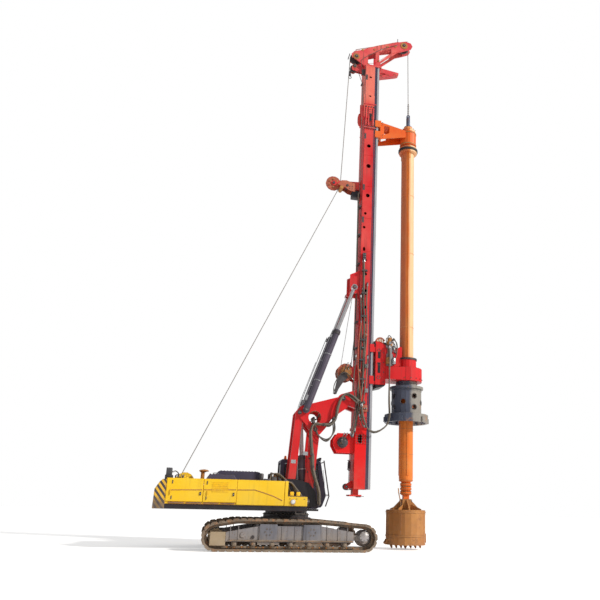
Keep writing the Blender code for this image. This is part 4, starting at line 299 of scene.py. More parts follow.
def wear_build(place, radius, chips):
    """Bare metal along edges and in chips."""
    tree = place.tree
    rounded = wire(tree, "ShaderNodeBevel", 0, {"Radius": radius}, samples=3)
    straight = wire(tree, "ShaderNodeNewGeometry", "Normal")
    facing = wire(tree, "ShaderNodeVectorMath", "Value", {0: rounded, 1: straight}, operation="DOT_PRODUCT")
    rubbed = clouds(place, 9.0, 4.0, 0.7).spread(0.42, 0.58)
    flakes = clouds(place, 26.0, 4.0, 0.72) - (0.80 - chips * 0.2)
    return (calc("MAXIMUM", facing.spread(0.93, 0.80) * rubbed, flakes.spread(0.0, 0.02)),)


def rust_build(place, scale, cover):
    """Rust patches with a lighter and a darker bloom, and pits."""
    field = clouds(place, scale, 6.0, 0.68) - cover.spread(0.0, 1.0, 0.72, 0.30)
    return field.spread(-0.03, 0.06), clouds(place, 14.0, 5.0, 0.7).spread(0.35, 0.68), cells(place, 70.0)


def stripe_build(place, width):
    """Slanted warning stripes of one width."""
    x, y, z = axes(place)
    across = x - calc("ABSOLUTE", y) + z * 0.8
    return (calc("FRACT", across / (width * 2.0)).spread(0.49, 0.51),)


def strand_build(place, turns):
    """The twist of a wire rope's strands or a hose's braid."""
    x, y, z = axes(place)
    return (calc("SINE", (x * 0.6 + (z + y * 1.7)) * (turns * 6.283)).spread(-1.0, 1.0),)


def tread_build(place, pitch):
    """Raised lozenges of a walkway plate."""
    x, y, _ = axes(place)
    turns = 6.283 / pitch
    return ((calc("SINE", (x + y) * turns) * calc("SINE", (x - y) * turns)).spread(0.35, 0.7),)


weather = effect("weather", "Tone Streaks Dust Grain", weather_build, Scale=1.0, Dust_Top=1.0)
wear = effect("wear", "Wear", wear_build, Radius=0.012, Chips=0.3)
rust_bloom = effect("rust_bloom", "Rust Bloom Pits", rust_build, Scale=3.0, Cover=0.5)
warning_stripes = effect("warning_stripes", "Stripe", stripe_build, Width=0.12)
strands = effect("strands", "Strand", strand_build, Turns=30.0)
tread_plate = effect("tread_plate", "Tread", tread_build, Pitch=0.06)


# Finishes
DUST = (0.42, 0.33, 0.24)
GRIME = (0.055, 0.045, 0.04)
BARE = (0.30, 0.27, 0.25)
PRIMER = (0.23, 0.075, 0.04)
RUST_DARK = (0.16, 0.06, 0.025)
RUST_LIGHT = (0.50, 0.24, 0.10)
SHINE = 0.3


def group(source, place, **inputs):
    """The outputs of an effect placed on an object's coordinates."""
    made = node(place.tree, "ShaderNodeGroup", {"Vector": place, **spoken(inputs)}, node_tree=source)
    return [Wire(place.tree, socket) for socket in made.outputs]


def blank(name):
    """A new material and its object coordinates."""
    material = bpy.data.materials.new(name)
    material.use_nodes = True
    return material, wire(material.node_tree, "ShaderNodeTexCoord", "Object")


def closed(material, base, rough, height=None, strength=0.12, distance=0.004, **others):
    """Fill the shader with a base colour, a roughness, a relief and other values."""
    tree = material.node_tree
    values = {"Base Color": base, "Roughness": rough, **spoken(others)}
    if height:
        sockets = {"Strength": strength, "Distance": distance, "Height": height}
        values["Normal"] = wire(tree, "ShaderNodeBump", 0, sockets)
    for key, value in values.items():
        fill(tree, tree.nodes["Principled BSDF"].inputs[key], value)
    return material


def painted(
    name, colour, faded, rough=0.38, dirt=0.35, dust=0.5, dust_top=3.0, chips=0.3, under=PRIMER, scale=1.0, zones=()
):
    """Enamel over steel: it fades, collects dirt and streaks, and wears to primer along its edges.

    A zone is (axis, low, high, colour): between two places along an axis the paint has another colour.
    """
    material, place = blank(name)
    tone, streaks, dusty, grain = group(weather, place, Scale=scale, Dust_Top=dust_top)
    worn = group(wear, place, Chips=chips)[0]
    base = mix(tone, colour, faded)
    for axis, low, high, other in zones:
        along = axes(place)[axis]
        base = mix(calc("GREATER_THAN", along, low) * calc("LESS_THAN", along, high), base, other)
    base = mix(streaks * dirt, base, GRIME)
    base = mix(dusty * dust, base, DUST)
    base = mix(worn, base, under)
    matt = rough + dusty * 0.35 + streaks * 0.12 + worn * 0.15
    return closed(material, base, matt, grain - worn * 0.6, Specular_IOR_Level=SHINE)


def steel(name, colour, second, rough=0.45, metal=0.6, rust=0.25, scale=3.0, bump=0.3, dust=0.5):
    """Bare or blued steel with rust blooms and pits."""
    material, place = blank(name)
    patch, bloom, pits = group(rust_bloom, place, Scale=scale, Cover=rust)
    tone, _, dusty, grain = group(weather, place, Scale=1.3, Dust_Top=2.0)
    clean = mix(group(wear, place, Chips=0.2)[0], mix(tone, colour, second), BARE)
    base = mix(patch * 0.8, clean, mix(bloom, RUST_DARK, RUST_LIGHT))
    base = mix(dusty * dust, base, DUST)
    shiny = (1.0 - calc("MAXIMUM", patch, dusty)) * metal
    return closed(material, base, rough + patch * 0.35, pits + grain, bump, Metallic=shiny)


def striped(name):
    """The rear weight: yellow paint with dark slanted stripes near its corners, darker towards its lower rear."""
    material, place = blank(name)
    tone, streaks, dusty, grain = group(weather, place, Scale=1.2, Dust_Top=2.3)
    x, y, z = axes(place)
    stripe = group(warning_stripes, place, Width=0.085)[0] * calc("GREATER_THAN", calc("ABSOLUTE", y), 1.08)
    base = mix(tone, (0.93, 0.54, 0.012), (0.82, 0.46, 0.03))
    base = mix(stripe, base, (0.035, 0.03, 0.04))
    tail = (z + clouds(place, 3.0) * 0.16 + x * 0.35).spread(0.10, -0.12)
    base = mix(tail * 0.85, base, (0.085, 0.06, 0.055))
    base = mix(streaks * 0.5, base, GRIME)
    base = mix(dusty * 0.5, base, DUST)
    base = mix(group(wear, place, Chips=0.4)[0], base, PRIMER)
    return closed(material, base, 0.4 + dusty * 0.3, grain)


def laid_rope(name, colour, second, turns, rough, metal):
    """Wire rope or braided hose: strands wind round it, with grease and dust between them."""
    material, place = blank(name)
    lay = group(strands, place, Turns=turns)[0]
    tone = group(weather, place, Scale=2.0, Dust_Top=2.0)[0]
    base = mix(tone * 0.35, mix(lay, second, colour), DUST)
    return closed(material, base, rough + tone * 0.2, lay, 0.5, 0.003, Metallic=metal)


def chrome(name):
    """A polished rod with fine wiping lines and an oil film."""
    material, place = blank(name)
    film = clouds(stretched(place, (30.0, 30.0, 3.0)), 3.0, 3.0)
    base = mix(film.spread(0.4, 0.7), (0.78, 0.78, 0.80), (0.52, 0.50, 0.50))
    return closed(material, base, film.spread(0.3, 0.8, 0.14, 0.34), film, 0.05, 0.002, Metallic=1.0)


def glass(name, tint, rough):
    """Tinted safety glass with a little dust near its lower edge."""
    material, place = blank(name)
    dusty = group(weather, place, Scale=1.6, Dust_Top=2.6)[2]
    return closed(material, mix(dusty * 0.5, tint, DUST), rough + dusty * 0.3, Transmission_Weight=0.75, IOR=1.45)


def moulded(name, colour, second, rough, grain=90.0):
    """Rubber or moulded plastic with a fine pebble grain."""
    material, place = blank(name)
    tone, _, dusty, _ = group(weather, place, Scale=1.5, Dust_Top=2.0)
    base = mix(dusty * 0.5, mix(tone, colour, second), DUST)
    return closed(material, base, rough + dusty * 0.2, cells(place, grain), 0.25, 0.002)


def woven(name, threads=1400.0):
    """Seat cloth: a plain weave that shows in its height and its two yarn colours."""
    material, place = blank(name)
    x, y, z = axes(place)
    yarn = (calc("SINE", (x + z) * threads) * calc("SINE", y * threads)).spread(-1.0, 1.0)
    base = mix(yarn, (0.02, 0.02, 0.025), (0.075, 0.075, 0.09))
    return closed(material, base, 0.85, yarn, 0.4, 0.001, Sheen_Weight=0.3)


def walkway(name):
    """A tread plate: raised lozenges, worn bright on top, with dirt between them."""
    material, place = blank(name)
    lozenge = group(tread_plate, place, Pitch=0.07)[0]
    dusty = group(weather, place, Scale=1.5, Dust_Top=4.0)[2]
    base = mix(dusty * 0.6, mix(lozenge, (0.035, 0.034, 0.036), (0.14, 0.135, 0.13)), DUST)
    return closed(material, base, lozenge.spread(0.0, 1.0, 0.7, 0.4), lozenge, 0.5, 0.006)


def drum_finish(name):
    """Blue enamel on the casing drum, with a painted highlight of pale steel colour on the side that turns to the sun.
    """
    material, place = blank(name)
    patch, bloom, pits = group(rust_bloom, place, Scale=2.2, Cover=0.28)
    tone, streaks, _, grain = group(weather, place, Scale=1.1, Dust_Top=2.0)
    edge = axes(place)[0] + clouds(place, 3.5) * 0.25
    base = mix(tone, (0.055, 0.065, 0.105), (0.10, 0.11, 0.155))
    # Painted highlight: the side of the drum that faces the sun is pale.
    base = mix(edge.spread(3.86, 4.02) * 0.8, base, (0.33, 0.30, 0.25))
    base = mix(streaks * 0.6, base, GRIME)
    base = mix(group(wear, place, Chips=0.5)[0], base, BARE)
    base = mix(patch * 0.7, base, mix(bloom, RUST_DARK, RUST_LIGHT))
    return closed(material, base, 0.45 + patch * 0.3, pits + grain, 0.25)


def bar_finish(name):
    """Orange enamel of the long bar, with a pale painted highlight on its sunny side and a brown painted shade on the
    other.
    """
    material, place = blank(name)
    tone, streaks, _, grain = group(weather, place, Scale=1.0, Dust_Top=2.4)
    x, _, z = axes(place)
    edge = x + clouds(stretched(place, (5.0, 5.0, 0.5)), 1.0) * 0.10
    high = z.spread(6.3, 6.8)
    base = mix(tone, (0.83, 0.165, 0.014), (0.88, 0.27, 0.05))
    # Painted highlight: the sunny side of the upper bar is pale.
    base = mix(edge.spread(3.80, 3.86) * (high * 0.72), base, (0.95, 0.70, 0.40))
    # Painted shade: the other side of the upper bar is brown.
    base = mix(edge.spread(3.78, 3.70) * (high * 0.62), base, (0.52, 0.15, 0.085))
    base = mix(streaks * 0.4, base, GRIME)
    base = mix(group(wear, place, Chips=0.6)[0], base, BARE)
    return closed(material, base, 0.4 + streaks * 0.2, grain, Specular_IOR_Level=SHINE)


SHADE = (0.050, 0.045, 0.085)
MAST_ZONES = ((0, 2.215, 2.33, SHADE), (0, 2.33, 2.55, (0.42, 0.42, 0.45)), (0, 1.8112, 1.826, SHADE))
BAR_ZONES = ((2, 1.0, 4.4, (0.82, 0.15, 0.008)),)
red = painted("red_enamel", (0.70, 0.010, 0.014), (0.72, 0.030, 0.032), chips=0.35, dirt=0.45)
mast_red = painted("mast_red_enamel", (0.66, 0.012, 0.020), (0.78, 0.085, 0.075), chips=0.55, dirt=0.75, zones=MAST_ZONES)
salmon = painted("sunlit_mast_enamel", (0.80, 0.085, 0.065), (0.90, 0.24, 0.17), chips=0.55, dirt=0.7, zones=MAST_ZONES)
foot_red = painted(
    "mast_foot_enamel", (0.84, 0.006, 0.007), (0.80, 0.015, 0.015), chips=0.2, dirt=0.2, zones=MAST_ZONES[:2]
)
head_red = painted("head_red_enamel", (0.72, 0.045, 0.065), (0.86, 0.18, 0.15), chips=0.5, dirt=0.8)
orange = painted(
    "kelly_orange", (0.86, 0.24, 0.045), (0.93, 0.40, 0.12), 0.42, 0.4, 0.2, 2.4, 0.6, under=BARE, zones=BAR_ZONES
)
guide_orange = painted("guide_orange", (0.82, 0.11, 0.012), (0.88, 0.20, 0.04), rough=0.42, chips=0.5, dirt=0.4)
yellow = painted("yellow_enamel", (0.96, 0.58, 0.012), (0.97, 0.64, 0.045), 0.32, 0.22, 0.25, 2.0, 0.03)
charcoal = painted("charcoal_enamel", (0.060, 0.056, 0.100), (0.085, 0.080, 0.130), 0.38, 0.4, 0.2, 2.6, 0.2)
cylinder_dark = painted("cylinder_enamel", (0.068, 0.058, 0.085), (0.11, 0.095, 0.13), rough=0.34, chips=0.2, dirt=0.4)
frame_grey = painted(
    "frame_grey_enamel", (0.17, 0.165, 0.185), (0.30, 0.285, 0.29), 0.5, 0.9, 0.85, 0.75, 0.8, RUST_DARK, 0.9
)
deck_black = painted("deck_black_enamel", (0.014, 0.013, 0.018), (0.030, 0.027, 0.034), 0.38, 0.3, 0.2, 1.5, 0.2)
blue_steel = steel("blue_steel", (0.085, 0.10, 0.155), (0.16, 0.18, 0.25), rust=0.22)
track_steel = steel("track_steel", (0.095, 0.068, 0.048), (0.20, 0.145, 0.10), 0.6, 0.3, 0.4, 5.0, 0.5)
rusted = steel("rusted_steel", (0.40, 0.15, 0.032), (0.56, 0.25, 0.06), 0.6, 0.1, 0.45, 1.1, dust=0.12)
bright_steel = steel("bright_steel", (0.46, 0.46, 0.48), (0.34, 0.34, 0.36), 0.35, 0.8, 0.12)
dark_iron = steel("dark_iron", (0.045, 0.04, 0.045), (0.085, 0.075, 0.08), 0.5, 0.3, 0.2)
rod_chrome = chrome("rod_chrome")
# The lift rods are chrome; this pale grey paint is a painted reflection of the bright surroundings.
pale_rod = painted("pale_rod_painted_reflection", (0.60, 0.60, 0.62), (0.70, 0.70, 0.71), rough=0.18, chips=0.0, dirt=0.15, dust=0.1)
dusty_drum = drum_finish("dusty_drum")
bar_orange = bar_finish("sunlit_bar_orange")
stripes_yellow = striped("striped_yellow")
block_blue = painted("block_blue_enamel", (0.13, 0.13, 0.155), (0.21, 0.21, 0.235), 0.5, 0.9, 0.6, 0.6, 0.5, RUST_DARK)
wire_rope = laid_rope("wire_rope", (0.40, 0.39, 0.38), (0.20, 0.19, 0.19), 14.0, 0.5, 0.2)
sandy = steel("sandy_steel", (0.36, 0.27, 0.16), (0.47, 0.37, 0.24), 0.65, 0.1, 0.3, 1.6)
worn_red = painted("worn_red_enamel", (0.36, 0.060, 0.035), (0.55, 0.17, 0.10), 0.5, 0.8, chips=0.8, under=RUST_DARK)
hose_rubber = laid_rope("hose_rubber", (0.060, 0.058, 0.055), (0.024, 0.023, 0.024), 40.0, 0.55, 0.0)
old_hose = laid_rope("old_hose", (0.16, 0.145, 0.12), (0.075, 0.066, 0.058), 40.0, 0.65, 0.0)
cab_glass = glass("cab_glass", (0.20, 0.24, 0.27), 0.04)
lens_glass = moulded("lamp_lens", (0.92, 0.92, 0.90), (0.86, 0.86, 0.84), 0.18, 40.0)
rubber = moulded("rubber_seal", (0.018, 0.018, 0.02), (0.035, 0.034, 0.036), 0.7)
plastic = moulded("console_plastic", (0.06, 0.06, 0.07), (0.09, 0.09, 0.10), 0.5, 220.0)
seat_cloth = woven("seat_cloth")
walkway_plate = walkway("walkway_plate")


# Geometry node trees for what repeats
def grower(name, build, **kinds):
    """A geometry tree with named inputs; what build makes is realized and gets the material."""
    tree = bpy.data.node_groups.new(name, "GeometryNodeTree")
    kinds = spoken(kinds)
    sockets_of(tree, "INPUT", {"Geometry": ("Geometry", None), **kinds, "Material": ("Material", None)})
    sockets_of(tree, "OUTPUT", {"Geometry": ("Geometry", None)})
    outputs = node(tree, "NodeGroupInput").outputs
    given = {label: Wire(tree, outputs[label]) for label in (*kinds, "Material")}
    real = wire(tree, "GeometryNodeRealizeInstances", 0, {0: build(tree, given)})
    done = wire(tree, "GeometryNodeSetMaterial", 0, {"Geometry": real, "Material": given["Material"]})
    fill(tree, node(tree, "NodeGroupOutput").inputs["Geometry"], done)
    return tree


def heads_on(tree, given, points):
    """A hexagon head on a washer at every point, standing on the plane of the points."""
    radius, tall = given["Head Radius"], given["Head Height"]
    cone = {"Vertices": 6, "Radius Top": radius * 0.9, "Radius Bottom": radius, "Depth": tall}
    washer = {"Vertices": 10, "Radius": radius * 1.35, "Depth": tall * 0.3}
    joined = node(tree, "GeometryNodeJoinGeometry")
    fill(tree, joined.inputs[0], wire(tree, "GeometryNodeMeshCone", "Mesh", cone))
    fill(tree, joined.inputs[0], wire(tree, "GeometryNodeMeshCylinder", "Mesh", washer))
    sockets = {"Points": points, "Instance": Wire(tree, joined.outputs[0])}
    return wire(tree, "GeometryNodeInstanceOnPoints", 0, sockets)


def ring_build(tree, given):
    sockets = {"Vertices": given["Count"], "Radius": given["Ring Radius"]}
    return heads_on(tree, given, wire(tree, "GeometryNodeMeshCircle", 0, sockets))


def grid_build(tree, given):
    lines = []
    for label, axis in (("Column", "X"), ("Row", "Y")):
        offset = wire(tree, "ShaderNodeCombineXYZ", 0, {axis: given[f"{label} Step"]})
        lines.append(wire(tree, "GeometryNodeMeshLine", 0, {"Count": given[f"{label}s"], "Offset": offset}))
    points = wire(tree, "GeometryNodeInstanceOnPoints", 0, {"Points": lines[0], "Instance": lines[1]})
    return heads_on(tree, given, wire(tree, "GeometryNodeRealizeInstances", 0, {0: points}))


def coil_build(tree, given):
    """Rope wound on a drum: a spiral along +Z."""
    radius = given["Drum Radius"]
    spiral = {"Resolution": 24, "Rotations": given["Turns"], "Height": given["Length"]}
    spiral.update({"Start Radius": radius, "End Radius": radius})
    line = wire(tree, "GeometryNodeCurveSpiral", 0, spiral)
    section = wire(tree, "GeometryNodeCurvePrimitiveCircle", 0, {"Resolution": 6, "Radius": given["Rope Radius"]})
    return wire(tree, "GeometryNodeCurveToMesh", 0, {"Curve": line, "Profile Curve": section, "Fill Caps": True})


HEADS = {"Head_Radius": ("Float", 0.02), "Head_Height": ("Float", 0.02)}
STEPS = {"Column_Step": ("Float", 0.1), "Row_Step": ("Float", 0.1)}
bolt_ring = grower("bolt_ring", ring_build, Count=("Int", 8), Ring_Radius=("Float", 0.3), **HEADS)
bolt_grid = grower("bolt_grid", grid_build, Columns=("Int", 2), Rows=("Int", 2), **STEPS, **HEADS)
rope_coil = grower(
    "rope_coil",
    coil_build,
    Turns=("Float", 10.0),
    Drum_Radius=("Float", 0.2),
    Length=("Float", 0.5),
    Rope_Radius=("Float", 0.014),
)


def grown(tree, material, **inputs):
    """The plain mesh that a geometry tree makes with these inputs."""
    holder = held("grown", bpy.data.meshes.new("empty"))
    modifier = holder.modifiers.new("grow", "NODES")
    modifier.node_group = tree
    keys = {item.name: item.identifier for item in tree.interface.items_tree if item.in_out == "INPUT"}
    modifier[keys["Material"]] = material
    for label, value in spoken(inputs).items():
        modifier[keys[label]] = value
    graph = bpy.context.evaluated_depsgraph_get()
    made = bpy.data.meshes.new_from_object(holder.evaluated_get(graph))
    bpy.data.objects.remove(holder, do_unlink=True)
    return made


# Plain shapes, each returned as a mesh
SMOOTH_ANGLE = radians(34)


def mesh_of(build):
    """A mesh from what build puts into an empty bmesh."""
    shape = bmesh.new()
    build(shape)
    bmesh.ops.recalc_face_normals(shape, faces=shape.faces)
    made = bpy.data.meshes.new("shape")
    shape.to_mesh(made)
    shape.free()
    return made


def worked(shape, size, steps=1):
    bmesh.ops.bevel(shape, geom=list(shape.edges), offset=size, segments=steps, profile=0.5, affect="EDGES")


def moved(mesh, matrix):
    mesh.transform(matrix)
    return mesh


def round_angles(count):
    return [TURN * i / count for i in range(count)]


def slab(corner, other, edge=0.006, steps=1):
    """A box between two opposite corners with worked edges."""

    def build(shape):
        bmesh.ops.create_cube(shape, size=1)
        for v in shape.verts:
            v.co = Vector((max if v.co[i] > 0 else min)(corner[i], other[i]) for i in range(3))
        worked(shape, edge, steps)

    return mesh_of(build)


def cube(sizes):
    return mesh_of(lambda shape: bmesh.ops.create_cube(shape, size=1, matrix=Matrix.Diagonal((*sizes, 1))))


def plate(outline, one, other, edge=0.005):
    """A plate with an outline of (x, z) places, between two places on the y axis."""
    low, high = sorted((one, other))

    def build(shape):
        face = shape.faces.new([shape.verts.new((x, low, z)) for x, z in outline])
        for v in bmesh.ops.extrude_face_region(shape, geom=[face])["geom"]:
            if isinstance(v, bmesh.types.BMVert):
                v.co.y += high - low
        worked(shape, edge)

    return mesh_of(build)


def turned(profile, place, sides=20):
    """A body of revolution from (radius, height) points; radius 0 closes it at its ends."""

    def build(shape):
        rows = []
        for radius, height in profile:
            angles = round_angles(sides) if radius else [0]
            rows.append([shape.verts.new((radius * cos(a), radius * sin(a), height)) for a in angles])
        for upper, lower in zip(rows, rows[1:] + rows[:1]):
            for i in range(sides):
                near, far = ([row[k % len(row)] for k in (i, i + 1)] for row in (upper, lower))
                corners = list(dict.fromkeys((*near, *far[::-1])))
                if len(corners) > 2:
                    shape.faces.new(corners)
        shape.transform(place)

    return mesh_of(build)


def up_at(x, y, z, angle=0.0):
    """A frame at a place, turned about the vertical."""
    return Matrix.Translation((x, y, z)) @ Matrix.Rotation(angle, 4, "Z")


def across_at(x, y, z, side=1):
    """A frame at a place whose +Z points to one side of the machine."""
    return Matrix.Translation((x, y, z)) @ Matrix.Rotation(-side * pi / 2, 4, "X")


def towards(start, end):
    """A frame at start whose +Z points to end."""
    along = Vector(end) - Vector(start)
    return Matrix.Translation(start) @ along.to_track_quat("Z", "Y").to_matrix().to_4x4()


def bar(start, end, radius, sides=10):
    long = (Vector(end) - Vector(start)).length
    cut = min(radius, long) * 0.2
    profile = ((0, 0), (radius - cut, 0), (radius, cut), (radius, long - cut), (radius - cut, long), (0, long))
    return turned(profile, towards(start, end), sides)


def flowing(points, steps):
    """A smooth line through the points."""
    rows = [Vector(p) for p in points]
    if steps < 2:
        return rows
    rows = [rows[0] * 2 - rows[1], *rows, rows[-1] * 2 - rows[-2]]
    out = []
    for a, b, c, d in zip(rows, rows[1:], rows[2:], rows[3:]):
        for t in [i / steps for i in range(steps)]:
            bend = (a * 2 - b * 5 + c * 4 - d) * t * t + (b * 3 - a - c * 3 + d) * t * t * t
            out.append((b * 2 + (c - a) * t + bend) / 2)
    return [*out, rows[-2]]


def pipe(points, radius, sides=7, steps=6):
    """A closed tube that follows a smooth line."""
    line = flowing(points, steps)

    def build(shape):
        rings = []
        aside = None
        for i, place in enumerate(line):
            along = (line[min(i + 1, len(line) - 1)] - line[max(i - 1, 0)]).normalized()
            aside = (aside - along * aside.dot(along)) if aside else along.orthogonal()
            aside.normalize()
            other = along.cross(aside)
            spokes = [(aside * cos(a) + other * sin(a)) * radius for a in round_angles(sides)]
            rings.append([shape.verts.new(place + spoke) for spoke in spokes])
        for lower, upper in zip(rings, rings[1:]):
            for k in range(sides):
                shape.faces.new((lower[k], lower[(k + 1) % sides], upper[(k + 1) % sides], upper[k]))
        shape.faces.new(rings[0][::-1])
        shape.faces.new(rings[-1])

    return mesh_of(build)


def thin(points, radius, sides=6):
    """A straight-sided tube from place to place."""
    return pipe(points, radius, sides, 1)


def hoop(place, radius, tube, sides=24, steps=8):
    """A ring with a round section."""
    return turned([(radius + tube * cos(a), tube * sin(a)) for a in round_angles(steps)], place, sides)


def disc(place, radius, thick, sides=24, edge=0.006):
    return turned(((0, 0), (radius, 0), (radius, thick - edge), (radius - edge, thick), (0, thick)), place, sides)


def band(place, inner, outer, tall, edge, sides):
    """A flat ring round a body, its outer edges worked."""
    return turned(((inner, 0), (outer, edge), (outer, tall), (inner, tall + edge)), place, sides)


def bolts_round(place, count, ring, head=0.018, tall=0.02):
    made = grown(bolt_ring, dark_iron, Count=count, Ring_Radius=ring, Head_Radius=head, Head_Height=tall)
    return moved(made, place)


def bolts_on(place, columns, rows, step, other, head=0.018, tall=0.02):
    steps = {"Column_Step": step, "Row_Step": other}
    heads = {"Head_Radius": head, "Head_Height": tall}
    return moved(grown(bolt_grid, dark_iron, Columns=columns, Rows=rows, **steps, **heads), place)


def piece(name, body, *rows):
    """One piece of the machine: rows of a material and its meshes, joined into one mesh that rides on a body."""
    shape = bmesh.new()
    materials = []
    for material, *meshes in rows:
        if material not in materials:
            materials.append(material)
        for mesh in meshes:
            first = len(shape.faces)
            shape.from_mesh(mesh)
            shape.faces.ensure_lookup_table()
            for face in shape.faces[first:]:
                face.material_index = materials.index(material)
                face.smooth = True
    made = bpy.data.meshes.new(name)
    shape.transform(Matrix.Translation((SLEW_X, 0, 0)))
    shape.to_mesh(made)
    shape.free()
    for material in materials:
        made.materials.append(material)
    made.set_sharp_from_angle(angle=SMOOTH_ANGLE)
    holder = held(name, made)
    if body:
        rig.ride(holder, body)
    return holder


def bent_piece(name, bodies, start, end, *rows):
    """A hose or rope that crosses one joint and bends between its two bodies."""
    start, end = (Vector(place) + Vector((SLEW_X, 0, 0)) for place in (start, end))
    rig.blend(piece(name, None, *rows), *bodies, start=start, end=end)


# Finishes of the frame's own nodes
NODE_FINISHES = {
    red: "boom rear_link triangle rotary_drive",
    worn_red: "aux_winch mid_sheave",
    mast_red: "mast_middle",
    salmon: "mast_upper",
    foot_red: "mast_lower",
    head_red: "mast_head",
    bar_orange: "kelly_outer",
    orange: "kelly_inner",
    guide_orange: "kelly_guide",
    yellow: "house tank valve_cover tool_box rear_door_right rear_door_left engine_door_right engine_door_left main_winch",
    stripes_yellow: "counterweight",
    charcoal: "engine_hood air_box cab_shell cab_door",
    cylinder_dark: "stay_barrel_right stay_barrel_left lift_barrel_right lift_barrel_left",
    rod_chrome: "stay_rod_right stay_rod_left",
    pale_rod: "lift_rod_right lift_rod_left",
    frame_grey: "track_frame_right track_frame_left drive_motors engine",
    deck_black: "turntable car_body",
    track_steel: "track_right track_left",
    rusted: "exhaust bucket bucket_door",
    sandy: "final_drive_right final_drive_left",
    dusty_drum: "casing_adapter",
    blue_steel: "swivel",
    dark_iron: "head_sheave_front head_sheave_rear aux_sheave crowd_sheave crowd_winch",
    seat_cloth: "cab_seat",
}
for finish, names in NODE_FINISHES.items():
    for name in names.split():
        slots = frame["nodes"][name].data.materials
        slots.clear()
        slots.append(finish)


# Floor, backdrop and light
FLOOR_WHITE = (0.94, 0.94, 0.94, 1)
FLOOR_GLOW = 0.45
FLOOR_HALF = 120
SUN_FROM = Vector((0.74, -0.52, 0.52))
SUN_STRENGTH = 2.9
SUN_COLOUR = (1.0, 0.97, 0.92)
SKY_STRENGTH = 0.42


def ray(tree, *kinds):
    """One for the rays of these kinds."""
    seen = node(tree, "ShaderNodeLightPath").outputs
    first, *others = (Wire(tree, seen[f"Is {kind} Ray"]) for kind in kinds)
    for other in others:
        first = calc("MAXIMUM", first, other)
    return first


def make_floor():
    """A plain pale floor that stays white to the camera and still takes the machine's shadow."""
    floor = held("floor", mesh_of(lambda shape: bmesh.ops.create_grid(shape, size=FLOOR_HALF)))
    material = blank("pale_floor")[0]
    tree = material.node_tree
    glow = ray(tree, "Camera", "Glossy", "Transmission") * FLOOR_GLOW
    closed(material, FLOOR_WHITE, 0.9, Emission_Color=FLOOR_WHITE, Emission_Strength=glow)
    floor.data.materials.append(material)
    floor.location.z = -0.002
    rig.stage(floor)


def make_light():
    world = bpy.data.worlds.new("sky")
    scene.world = world
    world.use_nodes = True
    back = world.node_tree.nodes["Background"].inputs
    back["Color"].default_value = (1, 1, 1, 1)
    lit = ray(world.node_tree, "Camera", "Transmission").spread(0.0, 1.0, SKY_STRENGTH, 1.0)
    fill(world.node_tree, back["Strength"], lit)
    sun = bpy.data.lights.new("sun", "SUN")
    sun.energy = SUN_STRENGTH
    sun.angle = radians(4)
    sun.color = SUN_COLOUR
    held("sun", sun).rotation_euler = SUN_FROM.to_track_quat("Z", "Y").to_euler()


make_camera()
make_floor()
make_light()


# Small fittings that many places share; each gives rows for a piece
def pin_end(place, radius, head=0.012):
    """The end of a pin: a raised cap, a keeper plate across it and two bolts."""
    keeper = moved(cube((radius * 1.5, radius * 0.45, 0.016)), place @ Matrix.Translation((0, 0, 0.022)))
    bolts = bolts_on(place @ Matrix.Translation((-radius * 0.5, 0, 0.03)), 2, 1, radius, 0.01, head, 0.012)
    return [(dark_iron, disc(place, radius, 0.022, 20)), (bright_steel, keeper), (dark_iron, bolts)]


def pin_pair(x, z, y, radius):
    """Both ends of a pin across the machine."""
    return [row for way in SIDES for row in pin_end(across_at(x, way * y, z, way), radius)]


def hose(points, radius, material, steps=6, ends=(True, True)):
    """A hose with a steel ferrule and a hexagon nut at each end that shows."""
    rows = [(material, pipe(points, radius, 7, steps))]
    for wanted, first, second in ((ends[0], points[0], points[1]), (ends[1], points[-1], points[-2])):
        if wanted:
            start = Vector(first)
            along = (Vector(second) - start).normalized()
            rows.append((bright_steel, bar(start - along * 0.01, start + along * radius * 4.5, radius * 1.35, 8)))
            rows.append((dark_iron, bar(start - along * radius * 1.6, start + along * 0.004, radius * 1.7, 6)))
    return rows


def hose_run(route, y, count, gap, radius, material, ends=(False, False), fan=0.0):
    """Several hoses side by side along one route of (x, z) places; fan moves each a little in x and z."""
    rows = []
    for i in range(count):
        beside = y + (i - (count - 1) / 2) * gap
        shift = fan * sin(i * 2.3)
        points = [
            (x + shift * sin(j * 0.9 + i), beside, z + shift * cos(j * 0.7 + i)) for j, (x, z) in enumerate(route)
        ]
        rows += hose(points, radius * (1.0 if i % 3 else 0.8), material, ends=ends)
    return rows


def clamp(place, along, wide, tall):
    """A clamp bar across a bundle of hoses, with a bolt at each end."""
    lean = Matrix.Translation(place) @ Vector(along).to_track_quat("X", "Z").to_matrix().to_4x4()
    row = lean @ Matrix.Translation((0, -wide / 2 + 0.02, tall / 2))
    bolts = bolts_on(row, 1, 2, 0.01, wide - 0.04, 0.012, 0.012)
    return [(dark_iron, moved(cube((0.06, wide, tall)), lean)), (bright_steel, bolts)]


def arc(centre, radius, start, end, steps, y=0.0):
    """Places on an arc in the plane of the mast, angles in degrees."""
    angles = [radians(start + (end - start) * i / steps) for i in range(steps + 1)]
    return [(centre[0] + radius * cos(angle), y, centre[1] + radius * sin(angle)) for angle in angles]


def on_ring(centre, radius, angle):
    return centre[0] + radius * cos(angle), centre[1] + radius * sin(angle)


# Ropes
ROPE = 0.015
AUX_ROPE = 0.013
CROWD_ROPE = 0.012
MAIN_DRUM = (-3.38, 2.02)
AUX_DRUM = (1.85, 6.01)
CROWD_DRUM = (1.80, 3.50)
MID_PULLEY = (1.12, 13.60)
REAR_SHEAVE = (1.84, 19.60)
FRONT_SHEAVE = (3.93, 20.57)
LOWER_SHEAVE = (1.78, 19.10)
FOOT_SHEAVE = (2.02, 2.02)
KELLY_X = 4.20
SOCKET_Z = 17.26
LEAN = 114.9


